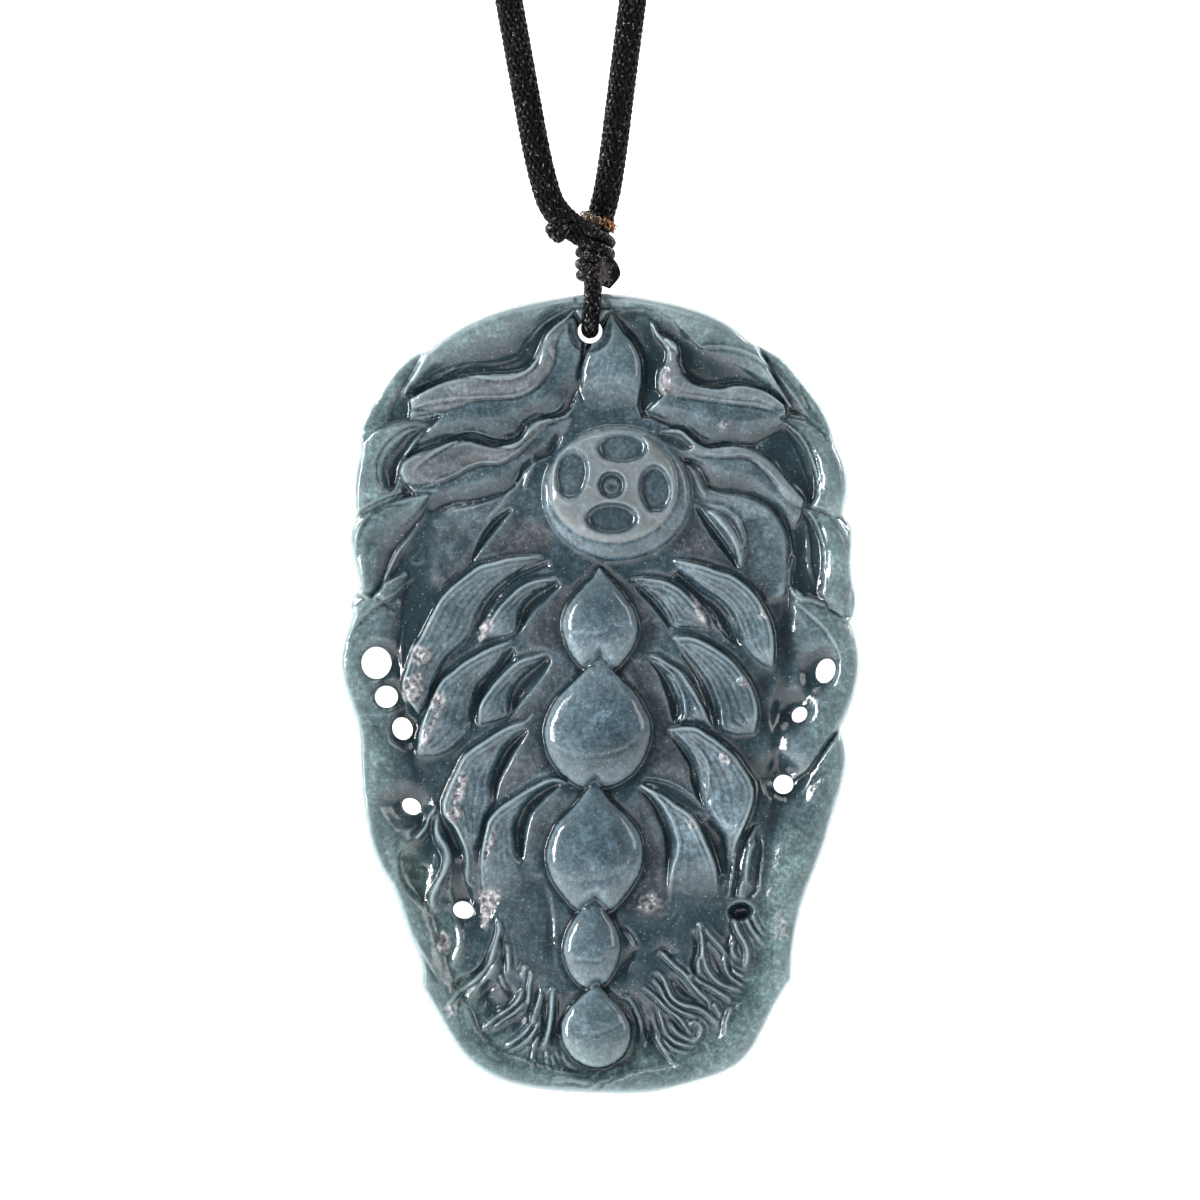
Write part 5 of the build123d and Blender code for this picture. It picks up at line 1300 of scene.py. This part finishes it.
class Shader:
    """A new material, and short calls that add nodes to it and give back their outputs."""

    def __init__(self, name):
        self.material = bpy.data.materials.new(name)
        self.material.use_nodes = True
        self.nodes, self.links = self.material.node_tree.nodes, self.material.node_tree.links
        self.surface = self.nodes["Principled BSDF"].inputs

    def put(self, value, socket):
        """Sets a socket to a number or a colour, or links an output to it."""
        if isinstance(value, (int, float)):
            socket.default_value = value
        elif isinstance(value, tuple):
            socket.default_value = (*value, 1)
        else:
            self.links.new(value, socket)

    def attribute(self, name):
        n = self.nodes.new("ShaderNodeAttribute")
        n.attribute_name = name
        return n.outputs["Fac"]

    def place(self):
        return self.nodes.new("ShaderNodeTexCoord").outputs["Object"]

    def maths(self, operation, *values, clamp=False):
        n = self.nodes.new("ShaderNodeMath")
        n.operation = operation
        n.use_clamp = clamp
        for socket, value in zip(n.inputs, values):
            self.put(value, socket)
        return n.outputs[0]

    def mix(self, fac, a, b, blend="MIX"):
        n = self.nodes.new("ShaderNodeMix")
        n.data_type = "RGBA"
        n.blend_type = blend
        for socket, value in zip((n.inputs["Factor"], n.inputs[6], n.inputs[7]), (fac, a, b)):
            self.put(value, socket)
        return n.outputs[2]

    def lay(self, under, over, mask, strength):
        """A colour over another by a mask times a strength."""
        return self.mix(self.maths("MULTIPLY", mask, strength, clamp=True), under, over)

    def noise(self, scale, detail, rough, vector):
        n = self.nodes.new("ShaderNodeTexNoise")
        for key, value in (("Scale", scale), ("Detail", detail), ("Roughness", rough), ("Vector", vector)):
            self.put(value, n.inputs[key])
        return n.outputs["Fac"]

    def ramp(self, fac, *stops):
        n = self.nodes.new("ShaderNodeValToRGB")
        while len(n.color_ramp.elements) < len(stops):
            n.color_ramp.elements.new(0.5)
        for e, (at, colour) in zip(n.color_ramp.elements, stops):
            e.position = at
            e.color = (*colour, 1) if isinstance(colour, tuple) else (colour, colour, colour, 1)
        self.put(fac, n.inputs[0])
        return n.outputs[0]

    def bump(self, height, strength, distance):
        n = self.nodes.new("ShaderNodeBump")
        for key, value in (("Strength", strength), ("Distance", distance), ("Height", height)):
            self.put(value, n.inputs[key])
        self.put(n.outputs[0], self.surface["Normal"])


def jade_material():
    s = Shader("jadeite")
    place = s.place()
    cloud, cloud2 = s.noise(90, 6, 0.62, place), s.noise(260, 4, 0.6, place)
    grain, specks = s.noise(2300, 3, 0.7, place), s.noise(3600, 2, 0.5, place)
    hollow, low, warm, rim_tone_and_glow, chips_and_glare, pale = map(s.attribute, ("hollow", "low", "warm", "rim_tone_and_glow", "chips_and_glare", "pale"))
    body = s.ramp(cloud, (0.32, srgb(46, 64, 75)), (0.48, srgb(70, 90, 101)), (0.66, srgb(102, 121, 132)))
    greenish = s.ramp(cloud2, (0.30, srgb(70, 92, 94)), (0.60, srgb(102, 124, 124)), (0.8, srgb(124, 142, 138)))
    dust = s.ramp(cloud2, (0.3, srgb(72, 74, 80)), (0.7, srgb(122, 118, 120)))
    broken = s.ramp(grain, (0.40, srgb(96, 98, 106)), (0.62, srgb(214, 210, 212)))
    # greener, lighter border: partly the stone's own tone, partly painted light shining through the thin edge
    colour = s.lay(body, greenish, rim_tone_and_glow, 1.3)
    colour = s.lay(colour, dust, warm, 0.75)
    patches = s.ramp(s.noise(620, 4, 0.65, place), (0.36, 0.70), (0.5, 0.94), (0.66, 1.36))
    colour = s.mix(1.0, colour, patches, "MULTIPLY")
    colour = s.mix(1.0, colour, s.ramp(grain, (0.34, 0.60), (0.5, 0.98), (0.66, 1.75)), "MULTIPLY")
    # painted shade on the low ground and in the grooves, painted highlight on the crests, pale specks, pale
    # broken places that are partly painted glare, then the disc's paler face and painted shade in its hollows
    colour = s.lay(colour, srgb(31, 49, 57), low, 0.88)
    colour = s.lay(colour, srgb(28, 46, 53), hollow, -1.15)
    colour = s.lay(colour, srgb(158, 176, 182), hollow, 0.55)
    colour = s.lay(colour, srgb(168, 180, 184), s.ramp(specks, (0.66, 0.0), (0.73, 1.0)), 0.5)
    colour = s.lay(colour, broken, chips_and_glare, 0.8)
    colour = s.lay(colour, srgb(143, 149, 148), pale, 0.50)
    # painted shade in the disc's hollows
    colour = s.lay(colour, srgb(40, 62, 70), pale, -0.44)
    s.put(colour, s.surface["Base Color"])
    s.put(s.maths("ADD", s.ramp(warm, (0.0, 0.10), (1.0, 0.24)), s.maths("MULTIPLY", chips_and_glare, 0.3)),
          s.surface["Roughness"])
    s.surface["IOR"].default_value = 1.66
    s.surface["Subsurface Weight"].default_value = 0.12
    s.surface["Subsurface Radius"].default_value = (0.6, 1.0, 1.05)
    s.surface["Subsurface Scale"].default_value = 0.0008
    s.bump(grain, 0.4, 0.00006)
    return s.material


def cord_material(name, base, rough, glint=0.59):
    """Nylon with fine fibres along each strand, and glints where a fine noise is above glint."""
    s = Shader(name)
    vector = s.nodes.new("ShaderNodeCombineXYZ")
    for socket, (key, scale) in zip(vector.inputs, (("cross", 14.0), ("along", 0.6), ("tone", 40.0))):
        s.put(s.maths("MULTIPLY", s.attribute(key), scale), socket)
    fibres = s.noise(2.0, 3, 0.6, vector.outputs[0])
    s.put(s.ramp(fibres, (0.3, base), (0.75, tuple(c * 1.7 for c in base))), s.surface["Base Color"])
    s.bump(fibres, 0.5, 0.00004)
    s.surface["IOR"].default_value = 1.5
    glints = s.noise(3200, 2, 0.5, s.place())
    s.put(s.ramp(glints, (glint, rough + 0.14), (glint + 0.06, rough - 0.10)), s.surface["Roughness"])
    s.put(s.ramp(glints, (glint, 0.08), (glint + 0.06, 1.0)), s.surface["Specular IOR Level"])
    return s.material


def metal_material():
    s = Shader("metallic_thread")
    tone = s.attribute("tone")
    place = s.nodes.new("ShaderNodeSeparateXYZ")
    s.put(s.place(), place.inputs[0])
    across = s.maths("MULTIPLY_ADD", place.outputs[0], 500.0, -1.45, clamp=True)
    pale = s.ramp(tone, (0.0, srgb(60, 48, 40)), (0.5, srgb(170, 152, 132)), (1.0, srgb(240, 230, 214)))
    brown = s.ramp(tone, (0.0, srgb(40, 20, 10)), (0.5, srgb(134, 74, 36)), (1.0, srgb(230, 176, 126)))
    s.put(s.mix(across, pale, brown), s.surface["Base Color"])
    s.surface["Metallic"].default_value = 0.75
    s.surface["Roughness"].default_value = 0.26
    return s.material


nylon = cord_material("nylon_black", (0.0018, 0.0018, 0.0023), 0.29)
shiny = cord_material("nylon_shiny", (0.0016, 0.0016, 0.0020), 0.35, 0.545)
worn = cord_material("nylon_worn", srgb(72, 65, 65), 0.40, 0.50)
for obj, material in ((stone, jade_material()), (cord_core, nylon), (covers[0], nylon), (covers[1], nylon),
                      (bail, shiny), (knot, shiny), (knot_core, nylon), (hitch, shiny), (strands, nylon),
                      (fibre, worn), (thread, metal_material())):
    obj.data.materials.append(material)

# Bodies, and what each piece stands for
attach(stone, "plaque")
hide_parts("pendant")
for obj in (cord_core, *covers, bail, knot, knot_core, hitch, strands, fibre, thread):
    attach(obj, "cord")
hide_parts("neck_cord")
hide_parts("bail_loop")
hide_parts("wrapped_knot")
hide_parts("hitch_turn")
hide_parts("gold_thread")

# Pale floor that curves up into a wall behind
FLOOR_Z, WALL_Y, SWEEP = -0.60, 2.6, 0.7
FLOOR_FRONT, WALL_TOP, HALF_WIDTH = -4.4, 4.3, 5.2
sweep = [(WALL_Y - SWEEP + SWEEP * math.sin(a), FLOOR_Z + SWEEP - SWEEP * math.cos(a))
         for a in np.linspace(0, math.pi / 2, 14)]
profile = [(FLOOR_FRONT, FLOOR_Z), *sweep, (WALL_Y, WALL_TOP)]
verts = [(x, y, z) for x in (-HALF_WIDTH, HALF_WIDTH) for y, z in profile]
n = len(profile)
backdrop = make_object("backdrop", np.array(verts) / MM, [[i, i + 1, n + i + 1, n + i] for i in range(n - 1)])
paper = Shader("backdrop_paper")
paper.surface["Base Color"].default_value = (0.92, 0.92, 0.92, 1)
paper.surface["Roughness"].default_value = 0.9
paper.surface["Specular IOR Level"].default_value = 0.1
backdrop.data.materials.append(paper.material)
backdrop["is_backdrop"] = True


def softbox(name, location, target, size, power):
    data = bpy.data.lights.new(name, "AREA")
    data.shape = "RECTANGLE"
    data.size, data.size_y = size
    data.energy = power
    obj = bpy.data.objects.new(name, data)
    obj.location = location
    obj.rotation_euler = (Vector(target) - Vector(location)).to_track_quat("-Z", "Y").to_euler()
    scene.collection.objects.link(obj)


STONE_MIDDLE = (0.004, 0, -0.325)
WALL_MIDDLE = (0, WALL_Y, -0.28)
softbox("key_left", (-0.62, -0.34, -0.20), STONE_MIDDLE, (0.08, 0.50), 6.0)
softbox("fill_right", (0.75, -0.40, -0.05), STONE_MIDDLE, (0.24, 0.60), 1.6)
softbox("top", (0.0, -0.35, 0.55), STONE_MIDDLE, (0.8, 0.3), 2.2)
softbox("wall_left", (-2.2, 0.9, 1.32), WALL_MIDDLE, (1.2, 2.0), 108.0)
softbox("wall_right", (2.2, 0.9, 1.32), WALL_MIDDLE, (1.2, 2.0), 108.0)
world = bpy.data.worlds.new("studio")
world.use_nodes = True
background = world.node_tree.nodes["Background"].inputs
background[0].default_value = (1, 1, 1, 1)
background[1].default_value = 0.11
scene.world = world

low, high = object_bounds()
